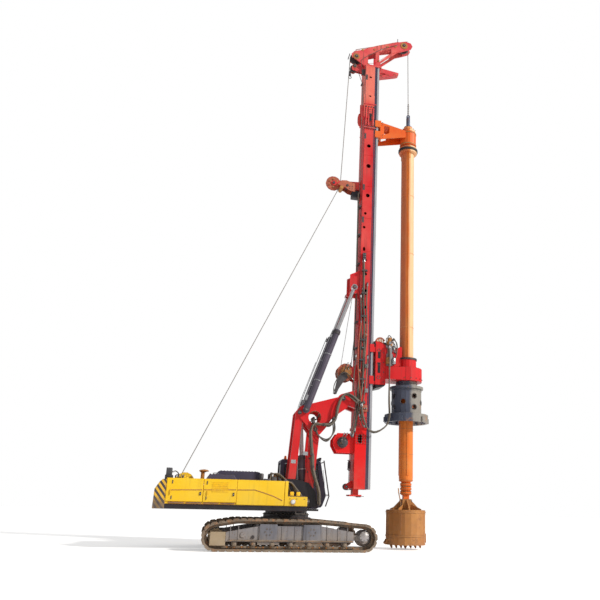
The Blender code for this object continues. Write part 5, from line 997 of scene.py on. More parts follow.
def hoist_rope():
    """From the main winch round the pulley on the mast, over both head sheaves and down to the swivel."""
    leave = (MAIN_DRUM[0] - 0.19, -0.15, MAIN_DRUM[1] + 0.10)
    touch = arc(MID_PULLEY, 0.28, -23, 0, 4)
    over = [*arc(REAR_SHEAVE, 0.235, 180, LEAN, 8), *arc(FRONT_SHEAVE, 0.235, LEAN, 0, 12)]
    low = (KELLY_X, 0, SOCKET_Z)
    bent_piece(
        "hoist_rope_winch", ("mast_support", "mast"), leave, touch[0], (wire_rope, thin([leave, *touch], ROPE))
    )
    piece("hoist_rope_head", "mast", (wire_rope, thin([touch[-1], *over], ROPE)))
    bent_piece("hoist_rope_front", ("mast", "guide"), over[-1], low, (wire_rope, thin([over[-1], low], ROPE)))
    sleeves = [hoop(up_at(KELLY_X, 0, SOCKET_Z + 0.10 + i * 0.11), 0.030, 0.012, 10, 6) for i in range(4)]
    socket = pipe([(KELLY_X, 0, SOCKET_Z + 0.55), low], 0.030, 7, 2)
    piece("hoist_rope_socket", "rope_swivel", (wire_rope, socket), (bright_steel, *sleeves))


def aux_rope():
    """Two parts of the auxiliary rope behind the mast, with a wedge socket below the lower sheave."""
    rise = arc(AUX_DRUM, 0.235, 20, -6, 3, 0.06)[::-1]
    over = arc(LOWER_SHEAVE, 0.155, 0, 180, 10)
    first = [*rise, (2.185, 0.03, 7.6), (2.19, 0, 18.35), (2.17, 0, 18.45), *over, (1.625, 0.0, 18.95)]
    second = ((1.67, -0.12, 6.24), (1.90, -0.10, 8.05), (2.16, -0.10, 9.9), (2.185, -0.08, 18.2))
    wedge = ((1.58, 18.74), (1.67, 18.74), (1.655, 18.96), (1.595, 18.96))
    piece(
        "aux_rope",
        "mast",
        (wire_rope, thin(first, AUX_ROPE), thin(second, 0.009)),
        (dark_iron, bar((2.145, -0.10, 18.40), (2.145, 0.10, 18.40), 0.03, 14), plate(wedge, -0.03, 0.03, 0.01)),
        (bright_steel, bar((1.625, -0.06, 18.80), (1.625, 0.06, 18.80), 0.02)),
        (dark_iron, hoop(across_at(1.625, 0, 18.66), 0.06, 0.014)),
    )


def crowd_rope():
    """The crowd ropes behind and before the mast, with their tensioner."""
    rear = [(2.06, 0, 3.62), (2.12, 0, 3.14), (2.12, 0, 2.9), *arc(FOOT_SHEAVE, 0.105, 0, -90, 5)]
    lump = ((0, 0), (0.02, 0), (0.055, 0.05), (0.055, 0.28), (0.02, 0.36), (0, 0.36))
    front = [thin([(2.735, 0, low), (2.735, 0, high)], 0.014) for low, high in ((1.96, 5.4), (7.4, 18.8))]
    piece(
        "crowd_rope",
        "mast",
        (wire_rope, thin(rear, CROWD_ROPE)),
        (dark_iron, turned(lump, up_at(2.12, 0, 2.56), 12)),
        (bright_steel, *[disc(up_at(2.12, 0, z), 0.065, 0.03, 6) for z in (2.60, 2.90)]),
        (wire_rope, thin([(2.02, 0, 1.915), (2.30, 0, 1.935)], CROWD_ROPE), *front),
        (dark_iron, *[bar((2.735, 0, z - 0.10), (2.735, 0, z + 0.10), 0.028, 8) for z in (5.42, 7.30)]),
    )


WOUND = (
    ("main", MAIN_DRUM, 0.205, 0.80, 0.018, 22.0),
    ("aux", AUX_DRUM, 0.255, 0.40, AUX_ROPE, 14.0),
    ("crowd", CROWD_DRUM, 0.195, 0.44, CROWD_ROPE, 17.0),
)


def wound_rope(name, centre, radius, length, rope, turns):
    """Rope on a drum."""
    sizes = {"Turns": turns, "Drum_Radius": radius + rope * 0.5, "Length": length, "Rope_Radius": rope}
    coil = moved(grown(rope_coil, wire_rope, **sizes), across_at(centre[0], -length / 2, centre[1]))
    piece(f"{name}_drum_rope", f"{name}_drum", (wire_rope, coil))


hoist_rope()
aux_rope()
crowd_rope()
for row in WOUND:
    wound_rope(*row)


# Hoses over the boom and along the mast
BOOM_HOSE_Y = -0.56
BOOM_HOSES = (
    ("low", ("upper", "boom_arms"), ((1.02, 1.40), (0.97, 1.87), (0.76, 2.52), (0.71, 2.98))),
    (
        "middle",
        ("boom_arms", "mast_support"),
        ((0.71, 2.98), (0.64, 3.46), (0.63, 3.85), (0.74, 4.06), (1.0, 4.05)),
    ),
    (
        "high",
        ("mast_support", "mast"),
        ((1.0, 4.05), (1.28, 4.06), (1.47, 4.30), (1.52, 4.65), (1.64, 5.00), (1.83, 5.16), (2.05, 5.08), (2.26, 4.90)),
    ),
)


def boom_hoses():
    """A bundle that climbs from the deck over the arms and the mast support to the mast, in three bends."""
    for name, bodies, route in BOOM_HOSES:
        start, end = ((x, BOOM_HOSE_Y, z) for x, z in (route[0], route[-1]))
        rows = hose_run(route, BOOM_HOSE_Y, 6, 0.046, 0.024, old_hose, fan=0.05)
        bent_piece(f"boom_hoses_{name}", bodies, start, end, *rows)
    sag = ((0.68, 4.22), (0.86, 3.70), (1.18, 3.52), (1.42, 3.84), (1.40, 4.30))
    rows = hose_run(sag, -0.53, 3, 0.05, 0.020, hose_rubber, fan=0.05)
    for x, z, lean in ((0.70, 4.10, 50), (1.05, 4.05, 0), (1.40, 4.28, 60)):
        rows += clamp((x, BOOM_HOSE_Y, z), (cos(radians(lean)), 0, sin(radians(lean))), 0.32, 0.07)
    piece("support_hoses", "mast_support", *rows)
    rows = [row for x, z in ((0.74, 2.62), (0.70, 3.02)) for row in clamp((x, -0.54, z), (-0.2, 0, 1), 0.34, 0.07)]
    piece("boom_clamps", "boom_arms", *rows)


def mast_hoses():
    """Hoses on the right side of the mast and behind it, held by clamps."""
    route = (
        (2.36, 10.33), (2.37, 9.5), (2.38, 8.74), (2.43, 7.9), (2.45, 7.21), (2.44, 6.4),
        (2.43, 5.72), (2.36, 5.10), (2.26, 4.62), (2.18, 4.1), (2.11, 3.70),
    )
    second = ((2.33, 9.2), (2.31, 8.2), (2.30, 7.2), (2.33, 6.4), (2.30, 5.6), (2.28, 5.0), (2.26, 4.90))
    rows = hose_run(route, -0.43, 3, 0.045, 0.021, old_hose, (True, True), 0.03)
    rows += hose_run(second, -0.425, 2, 0.04, 0.017, hose_rubber, (True, False), 0.02)
    for z in (9.9, 9.0, 8.1, 7.2, 6.45, 5.75):
        rows += clamp((2.395, -0.44, z), (0, 0, 1), 0.13, 0.20)
    rows.append((dark_iron, slab((2.31, -0.46, 10.30), (2.43, -0.381, 10.62), 0.01)))
    rows.append((bright_steel, bolts_on(across_at(2.34, -0.46, 10.36, -1), 2, 3, 0.06, 0.10, 0.012, 0.012)))
    piece("mast_hoses", "mast", *rows)
    rear = ((2.10, 13.2), (2.12, 12.0), (2.13, 10.6), (2.15, 9.4), (2.14, 8.2), (2.12, 7.2), (2.14, 6.45))
    rows = hose_run(rear, -0.22, 4, 0.05, 0.016, hose_rubber, fan=0.015)
    for z in (12.6, 11.4, 10.2, 7.9, 6.9):
        rows += clamp((2.165, -0.21, z), (0, 0, 1), 0.28, 0.08)
    piece("mast_rear_hoses", "mast", *rows)


def drape_hoses():
    """The loop of hoses that hangs from the rotary drive to the mast, and short loops on the drive."""
    route = (
        (3.36, 7.02), (3.38, 6.6), (3.38, 5.77), (3.39, 5.05), (3.42, 4.50), (3.34, 4.18),
        (3.16, 4.00), (2.97, 3.90), (2.80, 3.88), (2.60, 4.01), (2.44, 4.42), (2.38, 4.85),
    )
    rows = hose_run(route, -0.56, 3, 0.045, 0.022, old_hose, (True, True), 0.03)
    bent_piece("drape_hoses", ("drive", "mast"), (3.40, -0.56, 5.2), (2.55, -0.56, 4.1), *rows)
    rows = []
    tops = ((3.30, -0.46, 7.32), (3.38, -0.40, 7.42), (3.46, -0.36, 7.30), (3.54, -0.28, 7.22), (3.62, -0.2, 7.10))
    for x, y, top in tops:
        loop = ((x, y, 6.98), (x - 0.02, y - 0.02, top), (x + 0.12, y + 0.02, top - 0.06), (x + 0.16, y + 0.04, 6.86))
        rows += hose(loop, 0.017, hose_rubber, 5)
    piece("drive_hose_loops", "drive", *rows)


boom_hoses()
mast_hoses()
drape_hoses()


# Cab
CAB_Y = (0.505, 1.425)
CAB_FRONT = ((1.21, 2.91), (1.44, 1.69), (1.33, 1.35))
GLASS_Z = (2.03, 2.74)


def pane(corners, thick=0.006):
    """A thin closed pane of glass through four corners, given in order, with its rubber seal."""
    ring = [Vector(c) for c in corners]
    out = (ring[1] - ring[0]).cross(ring[3] - ring[0]).normalized() * thick

    def build(shape):
        first = [shape.verts.new(c) for c in ring]
        second = [shape.verts.new(c + out) for c in ring]
        shape.faces.new(first[::-1])
        shape.faces.new(second)
        for i in range(4):
            k = (i + 1) % 4
            shape.faces.new((first[i], first[k], second[k], second[i]))

    seal = [bar(a, b, 0.009, 6) for a, b in zip(ring, ring[1:] + ring[:1])]
    return [(cab_glass, mesh_of(build)), (rubber, *seal)]


def work_lamp(place, way, radius=0.055):
    """A round lamp in a dark housing with a rim and a clear lens."""
    lean = towards(place, Vector(place) + Vector(way))
    rim = radius + 0.006
    shell = ((0, -0.07), (radius * 0.7, -0.065), (radius, -0.02), (rim, 0.0), (rim, 0.014), (0, 0.014))
    lens = ((0, 0.015), (radius * 0.86, 0.015), (radius * 0.6, 0.026), (0, 0.03))
    x, y, z = place
    foot = bar((x, y, z - radius - 0.04), (x, y, z - radius * 0.6), 0.012, 8)
    return [(dark_iron, turned(shell, lean, 18)), (lens_glass, turned(lens, lean, 18)), (dark_iron, foot)]


def cab_fittings():
    low, high = CAB_Y
    near, far = 0.60, 1.33
    sill, top = GLASS_Z
    front = ((1.400, near, 1.70), (1.400, far, 1.70), (1.215, far, 2.73), (1.215, near, 2.73))
    rear = [(-0.195, y, z) for y, z in ((near, sill), (far, sill), (far, top), (near, top))]
    right = [(x, low + 0.02, z) for x, z in ((-0.06, sill), (1.18, sill), (1.07, top), (-0.06, top))]
    hatch = slab((0.285, 0.695, 2.905), (0.793, 1.235, 2.925), 0.008)
    piece("cab_glazing", "upper", *pane(front), *pane(rear), *pane(right), (cab_glass, hatch))
    door = [(x, high - 0.018, z) for x, z in ((0.06, sill), (0.94, sill), (0.94, 2.735), (0.06, 2.735))]
    handle = [(0.10, high + y, z) for y, z in ((0.01, 1.80), (0.055, 1.82), (0.055, 1.98), (0.01, 2.0))]
    piece("cab_door_fittings", "door", *pane(door), (dark_iron, pipe(handle, 0.012, 8, 3)))


def cab_outside():
    """The guard bars before the front window, a mirror, lamps, a wiper, a beacon and steps."""
    low, high = CAB_Y
    iron = []
    for y in (low + 0.02, high - 0.02):
        iron.append(pipe([(x + 0.10, y, z) for x, z in CAB_FRONT], 0.022, 8, 1))
        iron += [bar((x, y, z), (x + 0.10, y, z), 0.014, 6) for x, z in ((1.22, 2.84), (1.42, 1.74))]
    (top_x, top_z), (low_x, low_z) = CAB_FRONT[:2]
    for share in (0.02, 0.95):
        x, z = low_x + (top_x - low_x) * share + 0.10, low_z + (top_z - low_z) * share
        iron.append(bar((x, low + 0.02, z), (x, high - 0.02, z), 0.009, 6))
    iron.append(pipe(((1.24, high - 0.02, 2.72), (1.30, high + 0.10, 2.76), (1.34, high + 0.17, 2.66)), 0.012, 7, 4))
    rows = [(dark_iron, *iron), (plastic, slab((1.32, high + 0.08, 2.26), (1.36, high + 0.26, 2.64), 0.015, 2))]
    for y in (0.62, 0.84, 1.09, 1.31):
        rows += work_lamp((1.20, y, 2.955), (0.9, 0, -0.25))
    rows.append((dark_iron, pipe(((1.455, 0.97, 1.72), (1.42, 0.86, 2.05), (1.375, 0.80, 2.36)), 0.009, 6, 3)))
    rows.append((rubber, bar((1.40, 0.78, 2.12), (1.345, 0.82, 2.60), 0.007, 6)))
    hinges = [slab((x - 0.06, high - 0.012, 2.92), (x + 0.06, high + 0.006, 2.945), 0.004) for x in (0.15, 0.55, 0.95)]
    beacon = ((0, 0), (0.055, 0), (0.055, 0.03), (0.045, 0.035), (0.042, 0.10), (0.02, 0.125), (0, 0.127))
    strips = [slab((0.0, low - 0.012, z), (0.9, low - 0.001, z + 0.05), 0.004) for z in (1.44, 1.54, 1.64)]
    rows += [(dark_iron, *hinges), (orange, turned(beacon, up_at(-0.05, 0.70, 2.915), 16)), (dark_iron, *strips)]
    piece("cab_outside", "upper", *rows)


def cab_inside():
    """Consoles with their levers, the dashboard, a screen and two pedals."""
    side = ((0.20, 1.31), (0.72, 1.31), (0.80, 1.84), (0.66, 1.90), (0.22, 1.80))
    front = ((1.00, 1.31), (1.30, 1.31), (1.34, 1.56), (1.18, 1.64), (1.02, 1.52))
    grip = ((0, 0), (0.018, 0.004), (0.026, 0.05), (0.022, 0.10), (0.030, 0.13), (0.02, 0.15), (0, 0.152))
    rows = [(plastic, plate(side, 0.575, 0.70, 0.02), plate(side, 1.235, 1.355, 0.02))]
    for y in (0.64, 1.29):
        rows.append((dark_iron, pipe(((0.70, y, 1.86), (0.72, y, 1.98), (0.74, y, 2.06)), 0.010, 8, 3)))
        rows.append((rubber, turned(grip, towards((0.735, y, 2.04), (0.76, y, 2.2)), 12)))
    rows.append((plastic, plate(front, 0.66, 1.27, 0.02), slab((1.14, 0.62, 1.95), (1.17, 0.82, 2.18), 0.008)))
    rows.append((dark_iron, bar((1.18, 0.70, 1.60), (1.16, 0.70, 1.96), 0.012, 8)))
    for y in (0.86, 1.02):
        rows.append((rubber, slab((1.02, y - 0.045, 1.57), (1.10, y + 0.045, 1.59))))
        rows.append((dark_iron, bar((1.06, y, 1.50), (1.10, y, 1.84), 0.008, 6)))
    piece("cab_controls", "upper", *rows)


cab_fittings()
cab_outside()
cab_inside()


# Upper works: creases, slots, lamps and what stands on the deck
SIDE_Y = 1.41
LATCHES = (("rear_door", -2.87, -3.70), ("engine_door", -1.86, -2.66))


def crease(name, body, points):
    piece(name, body, (rusted, thin([(x, -SIDE_Y, z) for x, z in points], 0.014)))


def body_trim():
    """The pressed crease along the right side, split where the panels part, latches, and slots under the doors."""
    crease("crease_rear_door", "rear_door_r", ((-3.76, 1.737), (-2.79, 1.765)))
    crease("crease_engine_door", "engine_door_r", ((-2.74, 1.766), (-1.77, 1.79)))
    crease("crease_tank", "upper", ((-1.72, 1.79), (-1.18, 1.80), (-0.89, 1.72), (-0.60, 1.63), (-0.30, 1.50)))
    for side, way in (("right", -1), ("left", 1)):
        for body, x, far in LATCHES:
            plates = slab((x, way * SIDE_Y, 1.60), (x + 0.05, way * 1.435, 1.70), steps=2)
            key = bar((x + 0.025, way * 1.434, 1.65), (x + 0.025, way * 1.445, 1.65), 0.012)
            hinges = [bar((far, way * 1.418, z - 0.05), (far, way * 1.418, z + 0.05), 0.014, 8) for z in (1.52, 1.98)]
            rows = ((dark_iron, plates), (bright_steel, key), (dark_iron, *hinges))
            piece(f"{body}_{side}_latch", f"{body}_{side[0]}", *rows)
    rows = []
    for low, high in ((-3.78, -3.30), (-3.26, -2.78), (-2.74, -2.26), (-2.22, -1.78)):
        rows.append((rusted, slab((low, -1.415, 1.345), (high, -1.386, 1.388), 0.008)))
        # A dark strip stands for the opening of each slot: painted shade.
        rows.append((dark_iron, slab((low + 0.03, -1.420, 1.372), (high - 0.03, -1.414, 1.384), 0.002)))
    rims = [slab((-3.80, way * 1.375, 1.30), (0.42, way * 1.392, 1.334)) for way in SIDES]
    piece("deck_edge_slots", "upper", *rows, (deck_black, *rims))


def nose_details():
    """Lamp, bolts, hoses and a step at the right front of the deck."""
    lens = ((0, 0.0), (0.062, 0.0), (0.058, 0.012), (0.03, 0.022), (0, 0.024))
    rows = [
        (lens_glass, turned(lens, across_at(0.04, -1.441, 1.47, -1))),
        (bright_steel, hoop(across_at(0.04, -1.443, 1.47, -1), 0.07, 0.008)),
        (rusted, slab((-0.02, -1.42, 1.36), (0.10, -1.405, 1.385), 0.004)),
        (dark_iron, *[disc(across_at(x, -1.412, 1.56, -1), 0.016, 0.01, 8, 0.003) for x in (-0.06, 0.16, 0.40)]),
    ]
    for i in range(8):
        y = -1.16 + i * 0.07
        bend = (0.18, y, 1.86 - 0.03 * (i % 3))
        drop = ((-0.24, y, 2.10 - 0.02 * i), (-0.02, y - 0.03, 2.06), bend, (0.34, y + 0.04, 1.68), (0.46, y + 0.08, 1.50))
        rows += hose(drop, 0.021, hose_rubber if i % 3 else old_hose, 5, (True, False))
    for x, y in ((0.02, -1.18), (0.22, -1.22)):
        rows.append((yellow, slab((x - 0.06, y - 0.06, 1.64), (x + 0.06, y + 0.06, 1.78), 0.012, 2)))
        rows.append((dark_iron, bolts_round(up_at(x, y, 1.78), 4, 0.035, 0.012, 0.014)))
    rows.append((walkway_plate, slab((-0.10, -1.30, 1.632), (0.44, -1.00, 1.655))))
    outer, inner = ((0.14, 1.10), (0.44, 1.10), (0.44, 1.24), (0.42, 1.24)), ((0.42, 1.12), (0.16, 1.12), (0.16, 1.24))
    rows.append((dark_iron, plate((*outer, *inner, (0.14, 1.24)), -1.36, -1.20, 0.003)))
    piece("nose_details", "upper", *rows)


DECK_BOXES = (
    (-0.80, -1.05, 0.20, 0.26, 2.16, dark_iron),
    (-0.56, -0.86, 0.17, 0.30, 2.24, plastic),
    (-0.36, -0.72, 0.12, 0.24, 2.32, plastic),
    (-0.22, -1.02, 0.14, 0.22, 2.08, dark_iron),
)


def deck_items():
    """Valves, filters, boxes and pipes that show above the body between the hoods and the arms."""
    rows = []
    for x, y, wide, deep, top, finish in DECK_BOXES:
        rows.append((finish, slab((x - wide / 2, y - deep / 2, 1.64), (x + wide / 2, y + deep / 2, top), 0.015, 2)))
        corner = up_at(x - wide / 2 + 0.03, y - deep / 2 + 0.03, top)
        rows.append((bright_steel, bolts_on(corner, 2, 2, wide - 0.06, deep - 0.06, 0.012, 0.014)))
    can = ((0, 0), (0.07, 0), (0.075, 0.02), (0.075, 0.26), (0.06, 0.29), (0.03, 0.30), (0, 0.302))
    for x, y, finish in ((-0.66, -0.55, dark_iron), (-0.48, -0.52, rusted), (-0.95, -0.62, dark_iron)):
        rows.append((finish, turned(can, up_at(x, y, 2.05), 16)))
    for i in range(7):
        y = -1.10 + i * 0.075
        start, end = (-0.72 + i * 0.03, y, 2.05), (-0.02, y + 0.03, 1.80)
        crest = ((-0.66, y - 0.02, 2.30 + 0.012 * i), (-0.42, y + 0.02, 2.33 - 0.01 * i), (-0.18 + i * 0.02, y, 2.12))
        rows += hose((start, *crest, end), 0.017, hose_rubber if i % 2 else old_hose, 4, (True, False))
    piece("deck_hoses", "upper", *rows)
    rows = [
        (dark_iron, slab((-3.97, -1.10, 2.065), (-3.74, -0.55, 2.20), 0.012, 2)),
        (plastic, slab((-3.95, -1.02, 2.20), (-3.78, -0.62, 2.42), 0.012, 2)),
    ]
    for i in range(4):
        x = -3.66 + i * 0.075
        rows.append((dark_iron, bar((x, -0.86, 2.10), (x, -0.86, 2.20 + 0.05 * sin(i * 2.1)), 0.022)))
        rows.append((bright_steel, bar((x, -0.72, 2.10), (x + 0.03, -0.72, 2.24), 0.014, 8)))
    line = ((-3.78, -0.80, 2.30), (-3.68, -0.76, 2.33), (-3.58, -0.70, 2.26), (-3.56, -0.66, 2.12))
    piece("rear_valve_box", "upper", *rows, *hose(line, 0.016, hose_rubber, 5))


def louvres(x, step, count, near, far, low, high):
    return [slab((x + i * step, near, low), (x + i * step + 0.05, far, high), 0.004) for i in range(count)]


def hood_details():
    """Louvres and grips of the engine hood; louvres, exhaust cap, fillers and tread plate of the roof."""
    grips = []
    for y in (-0.98, -0.18):
        grips.append(pipe(((-2.50, y, 2.262), (-2.50, y, 2.30), (-2.36, y, 2.30), (-2.36, y, 2.262)), 0.010, 7, 3))
    slats = louvres(-2.62, 0.095, 9, -1.05, -0.20, 2.262, 2.275)
    piece("hood_louvres", "hood", (dark_iron, *slats), (bright_steel, *grips))
    cap = ((0, 0.0), (0.11, 0.0), (0.155, 0.012), (0.155, 0.03), (0.11, 0.06), (0, 0.075))
    fillers = [disc(up_at(-1.20, y, 2.106), 0.07, 0.035, 20, 0.01) for y in (-0.30, 0.10)]
    feet = [bar((x, y, 2.10), (x, y, 2.12), 0.03, 8) for y in (-1.30, 1.30) for x in (-1.62, -1.10, -0.58)]
    piece(
        "roof_details",
        "upper",
        (dark_iron, *louvres(-2.26, 0.105, 12, 0.52, 1.08, 2.448, 2.458)),
        (rusted, turned(cap, up_at(-2.80, -0.62, 2.345), 24)),
        (dark_iron, *fillers, *feet),
        (walkway_plate, slab((-1.66, -1.30, 2.104), (-0.95, -0.42, 2.116), 0.004)),
    )


body_trim()
nose_details()
deck_items()
hood_details()


# Pins, cylinders and plates of the linkage
LINKAGE_PINS = (
    ("boom_pins", "boom_arms", ((0.64, 1.50, 0.47, 0.085), (0.79, 3.88, 0.485, 0.085))),
    ("link_pins", "rear_links", ((0.07, 2.06, 0.485, 0.07),)),
    (
        "support_pins",
        "mast_support",
        ((0.22, 4.44, 0.485, 0.075), (0.33, 4.36, 0.305, 0.05), (1.74, 5.01, 0.485, 0.085), (0.42, 4.52, 0.705, 0.07)),
    ),
    ("stay_pins", "stay_rods", ((1.98, 9.13, 0.70, 0.07),)),
)
CYLINDERS = (
    ("stay", (0.42, 4.52), (1.98, 9.13), 0.615, 0.115, 0.635),
    ("lift", (0.54, 1.52), (0.33, 4.36), 0.135, 0.105, 0.53),
)


def one_cylinder(start, stop, way, radius, share):
    """The gland, bolts, steel pipes, ports, bands and valve block of one barrel."""
    along = (stop - start).normalized()
    length = (stop - start).length * share
    out = along.cross(Vector((0, way, 0))).normalized()
    if out.x > 0:
        out = -out

    def place(ahead, above=0.0):
        return start + along * ahead + out * above

    gland = ((radius + 0.001, 0), (radius + 0.018, 0.006), (radius + 0.018, 0.10), (radius + 0.001, 0.11))
    skin = radius + 0.012
    first, last = place(0.34, skin), place(length - 0.20, skin)
    back = along * 0.1
    main = (first, first + out * 0.045, last + out * 0.045 - along * 0.05, last)
    pilot = (first - back, first + out * 0.081 - back, last + out * 0.081 - back * 9)
    bands = [band(towards(place(length * t), stop), radius + 0.001, radius + 0.008, 0.032, 0.003, 22) for t in (0.35, 0.68)]
    block = slab((-0.05, -0.05, 0), (0.05, 0.05, 0.20), 0.008)
    on_top = towards(place(0.30, radius + 0.02), place(0.6, radius + 0.02))
    return [
        (dark_iron, turned(gland, towards(place(length - 0.16), stop), 22)),
        (bright_steel, bolts_round(towards(place(length - 0.048), stop), 8, radius * 0.86, 0.012, 0.012)),
        (bright_steel, pipe(main, 0.013, 7, 3), pipe(pilot, 0.010, 7, 3)),
        (dark_iron, *[bar(port - out * 0.012, port + out * 0.03, 0.026, 6) for port in (first, last)]),
        (bright_steel, *bands, moved(block, on_top)),
    ]


def linkage():
    for name, body, pins in LINKAGE_PINS:
        piece(name, body, *[row for pin in pins for row in pin_pair(*pin)])
    for name, foot, eye, y, radius, share in CYLINDERS:
        rows = []
        for way in SIDES:
            start, stop = (Vector((x, way * y, z)) for x, z in (foot, eye))
            rows += one_cylinder(start, stop, way, radius, share)
        piece(f"{name}_cylinder_fittings", f"{name}_barrels", *rows)


def linkage_plates():
    """Blank plates on the arms and links, grease nipples, and what shows through the hole of the support."""
    nipples = []
    for z in (2.0, 2.45, 2.9, 3.3):
        x = 0.54 + 0.15 * (z - 1.5) / 2.38
        nipples.append(bar((x, -0.46, z - 0.02), (x, -0.44, z + 0.02), 0.02, 8))
    face = slab((0.42, -0.452, 3.0), (0.58, -0.449, 3.12), 0.001)
    piece("boom_plates", "boom_arms", (rod_chrome, face), (dark_iron, *nipples))
    piece("link_plate", "rear_links", (rod_chrome, slab((0.02, -0.455, 2.72), (0.18, -0.449, 2.84), 0.001)))
    ring = ((0.205, -0.004), (0.224, -0.004), (0.224, 0.012), (0.205, 0.012))
    rows = [(rusted, *[turned(ring, across_at(0.757, way * 0.30, 4.30, way), 28) for way in SIDES])]
    rows.append((dark_iron, bar((0.757, -0.20, 4.30), (0.757, 0.20, 4.30), 0.05, 14)))
    for y in (-0.12, 0.0, 0.12):
        rows += hose(((0.62, y, 4.12), (0.74, y, 4.24), (0.90, y, 4.30), (1.00, y, 4.52)), 0.018, hose_rubber, 4)
    piece("support_inside", "mast_support", *rows)


linkage()
linkage_plates()


# Mast, winches, head
MAST_Y = 0.412


def mast_trim():
    """Bolts of the splices, weld seams and the bolts of the front rails."""
    grids = []
    for low in (16.08, 3.50):
        for way in SIDES:
            for z in (low, low + 0.62):
                grids.append(bolts_on(across_at(2.27, way * MAST_Y, z, way), 5, 4, 0.09, -way * 0.09, 0.016, 0.018))
    piece("splice_bolts", "mast", (dark_iron, *grids))
    seams = [((2.24, way * 0.382, 5.2 + i * 1.38), (2.66, way * 0.382, 5.2 + i * 1.38)) for i in range(8) for way in SIDES]
    seams += [((x, way * 0.383, 4.6), (x, way * 0.383, 15.9)) for way in SIDES for x in (2.236, 2.664)]
    piece("mast_trim", "mast", (red, *[thin(seam, 0.006) for seam in seams]))
    bolts = []
    for way in SIDES:
        for i in range(14):
            for k in range(3):
                spot = across_at(2.70, way * 0.349, 2.3 + i * 1.2 + k * 0.4, way)
                bolts.append(disc(spot, 0.016, 0.012, 6, 0.003))
    piece("rail_bolts", "mast", (dark_iron, *bolts))


def mast_foot():
    rings = hoop(up_at(2.48, 0, 1.70), 0.075, 0.02, 18), bolts_round(up_at(2.50, 0, 1.705), 8, 0.16, 0.016, 0.016)
    piece("foot_details", "mast", (dark_iron, *rings), *pin_pair(*FOOT_SHEAVE, 0.135, 0.05))


def pulley_details():
    rows = []
    for way in SIDES:
        rows += pin_end(across_at(MID_PULLEY[0], way * 0.085, MID_PULLEY[1], way), 0.055)
        for i in range(6):
            x, z = on_ring(MID_PULLEY, 0.17, radians(30 + i * 60))
            rows.append((rusted, disc(across_at(x, way * 0.062, z, way), 0.035, 0.012, 12, 0.004)))
    piece("pulley_hub", "mast", *rows)
    cheek = ((0.14, -0.10), (0.46, -0.20), (0.62, -0.30), (0.86, -0.34), (0.86, 0.02), (0.50, 0.12), (0.30, 0.10))
    cheek = [(MID_PULLEY[0] + x, MID_PULLEY[1] + z) for x, z in cheek]
    rows = []
    for way in SIDES:
        rows.append((worn_red, plate(cheek, way * 0.17, way * 0.19, 0.004)))
        rows.append((dark_iron, bolts_on(across_at(1.76, way * 0.19, 13.38, way), 2, 2, 0.10, -way * 0.10, 0.016, 0.016)))
    rows.append((rusted, bar((1.43, -0.20, 13.40), (1.43, 0.20, 13.40), 0.075, 18)))
    rows.append((dark_iron, bar((1.66, -0.22, 13.50), (1.66, 0.22, 13.50), 0.05, 16)))
    rows.append((deck_black, slab((1.86, -0.16, 13.06), (2.16, 0.16, 13.34), 0.02, 2)))
    piece("pulley_bracket", "mast", *rows)


SHEAVE_FACES = ((FRONT_SHEAVE, 0.16, rusted), (REAR_SHEAVE, 0.14, rusted), (LOWER_SHEAVE, 0.10, worn_red))


def head_details():
    """Sheave pins, rope keepers, sheave faces, seams, bolts and a cable on the masthead."""
    rows = []
    for sheave in (REAR_SHEAVE, FRONT_SHEAVE, LOWER_SHEAVE):
        rows += pin_pair(*sheave, 0.225, 0.07)
    for centre, lean in ((FRONT_SHEAVE, 62), (FRONT_SHEAVE, 150), (REAR_SHEAVE, 165), (REAR_SHEAVE, 95)):
        x, z = on_ring(centre, 0.30, radians(lean))
        rows.append((dark_iron, bar((x, -0.19, z), (x, 0.19, z), 0.018)))
    for way in SIDES:
        rows.append((dark_iron, bar((3.64, way * 0.15, 20.66), (3.66, way * 0.15, 20.90), 0.016, 8)))
        for (x, z), radius, finish in SHEAVE_FACES:
            rows.append((finish, disc(across_at(x, way * 0.20, z, way), radius, 0.022)))
    seam = ((2.30, 19.32), (2.66, 19.42), (3.30, 20.00), (3.80, 20.26))
    rows.append((red, *[thin([(x, way * 0.202, z) for x, z in seam], 0.008) for way in SIDES]))
    rows.append((dark_iron, bolts_on(up_at(2.24, -0.16, 19.165), 5, 2, 0.14, 0.32)))
    cable = ((2.12, -0.24, 18.9), (2.06, -0.25, 19.4), (2.4, -0.24, 19.75), (3.0, -0.235, 20.2), (3.62, -0.23, 20.52))
    rows += hose(cable, 0.011, hose_rubber, 5)
    rows.append((dark_iron, slab((2.08, -0.30, 18.70), (2.24, -0.19, 18.95), 0.01)))
    piece("head_fittings", "mast", *rows)


WINCHES = (
    ("aux", "mast", AUX_DRUM, 0.225, 0.20, rusted),
    ("crowd", "mast", CROWD_DRUM, 0.275, 0.19, dark_iron),
    ("main", "upper", MAIN_DRUM, 0.43, 0.18, yellow),
)
HUB = ((1, 0), (1, 0.03), (0.82, 0.05), (0.78, 0.09), (0.4, 0.10), (0.36, 0.14))


def winch_cover(name, body, centre, y, radius, finish):
    """Hubs with their bolts at both ends of a winch, and hoses to the two on the mast."""
    x, z = centre
    rows = []
    for way in SIDES:
        shell = ((0, 0), *[(radius * share, height) for share, height in HUB], (0, 0.14))
        place = across_at(x, way * (y + 0.02), z, way)
        rows.append((finish, turned(shell, place, 24)))
        rows.append((dark_iron, bolts_round(place @ up_at(0, 0, 0.034), 10, radius * 0.9, 0.012, 0.014)))
        for start in (x - 0.05, x + 0.05) if body == "mast" else ():
            loop = ((start, 0.13, 0.04), (start, 0.20, 0.14), (start + 0.08, 0.16, 0.30))
            rows += hose([(a, way * (y + b), z + c) for a, b, c in loop], 0.014, hose_rubber, 4)
    piece(f"{name}_winch_hub", body, *rows)


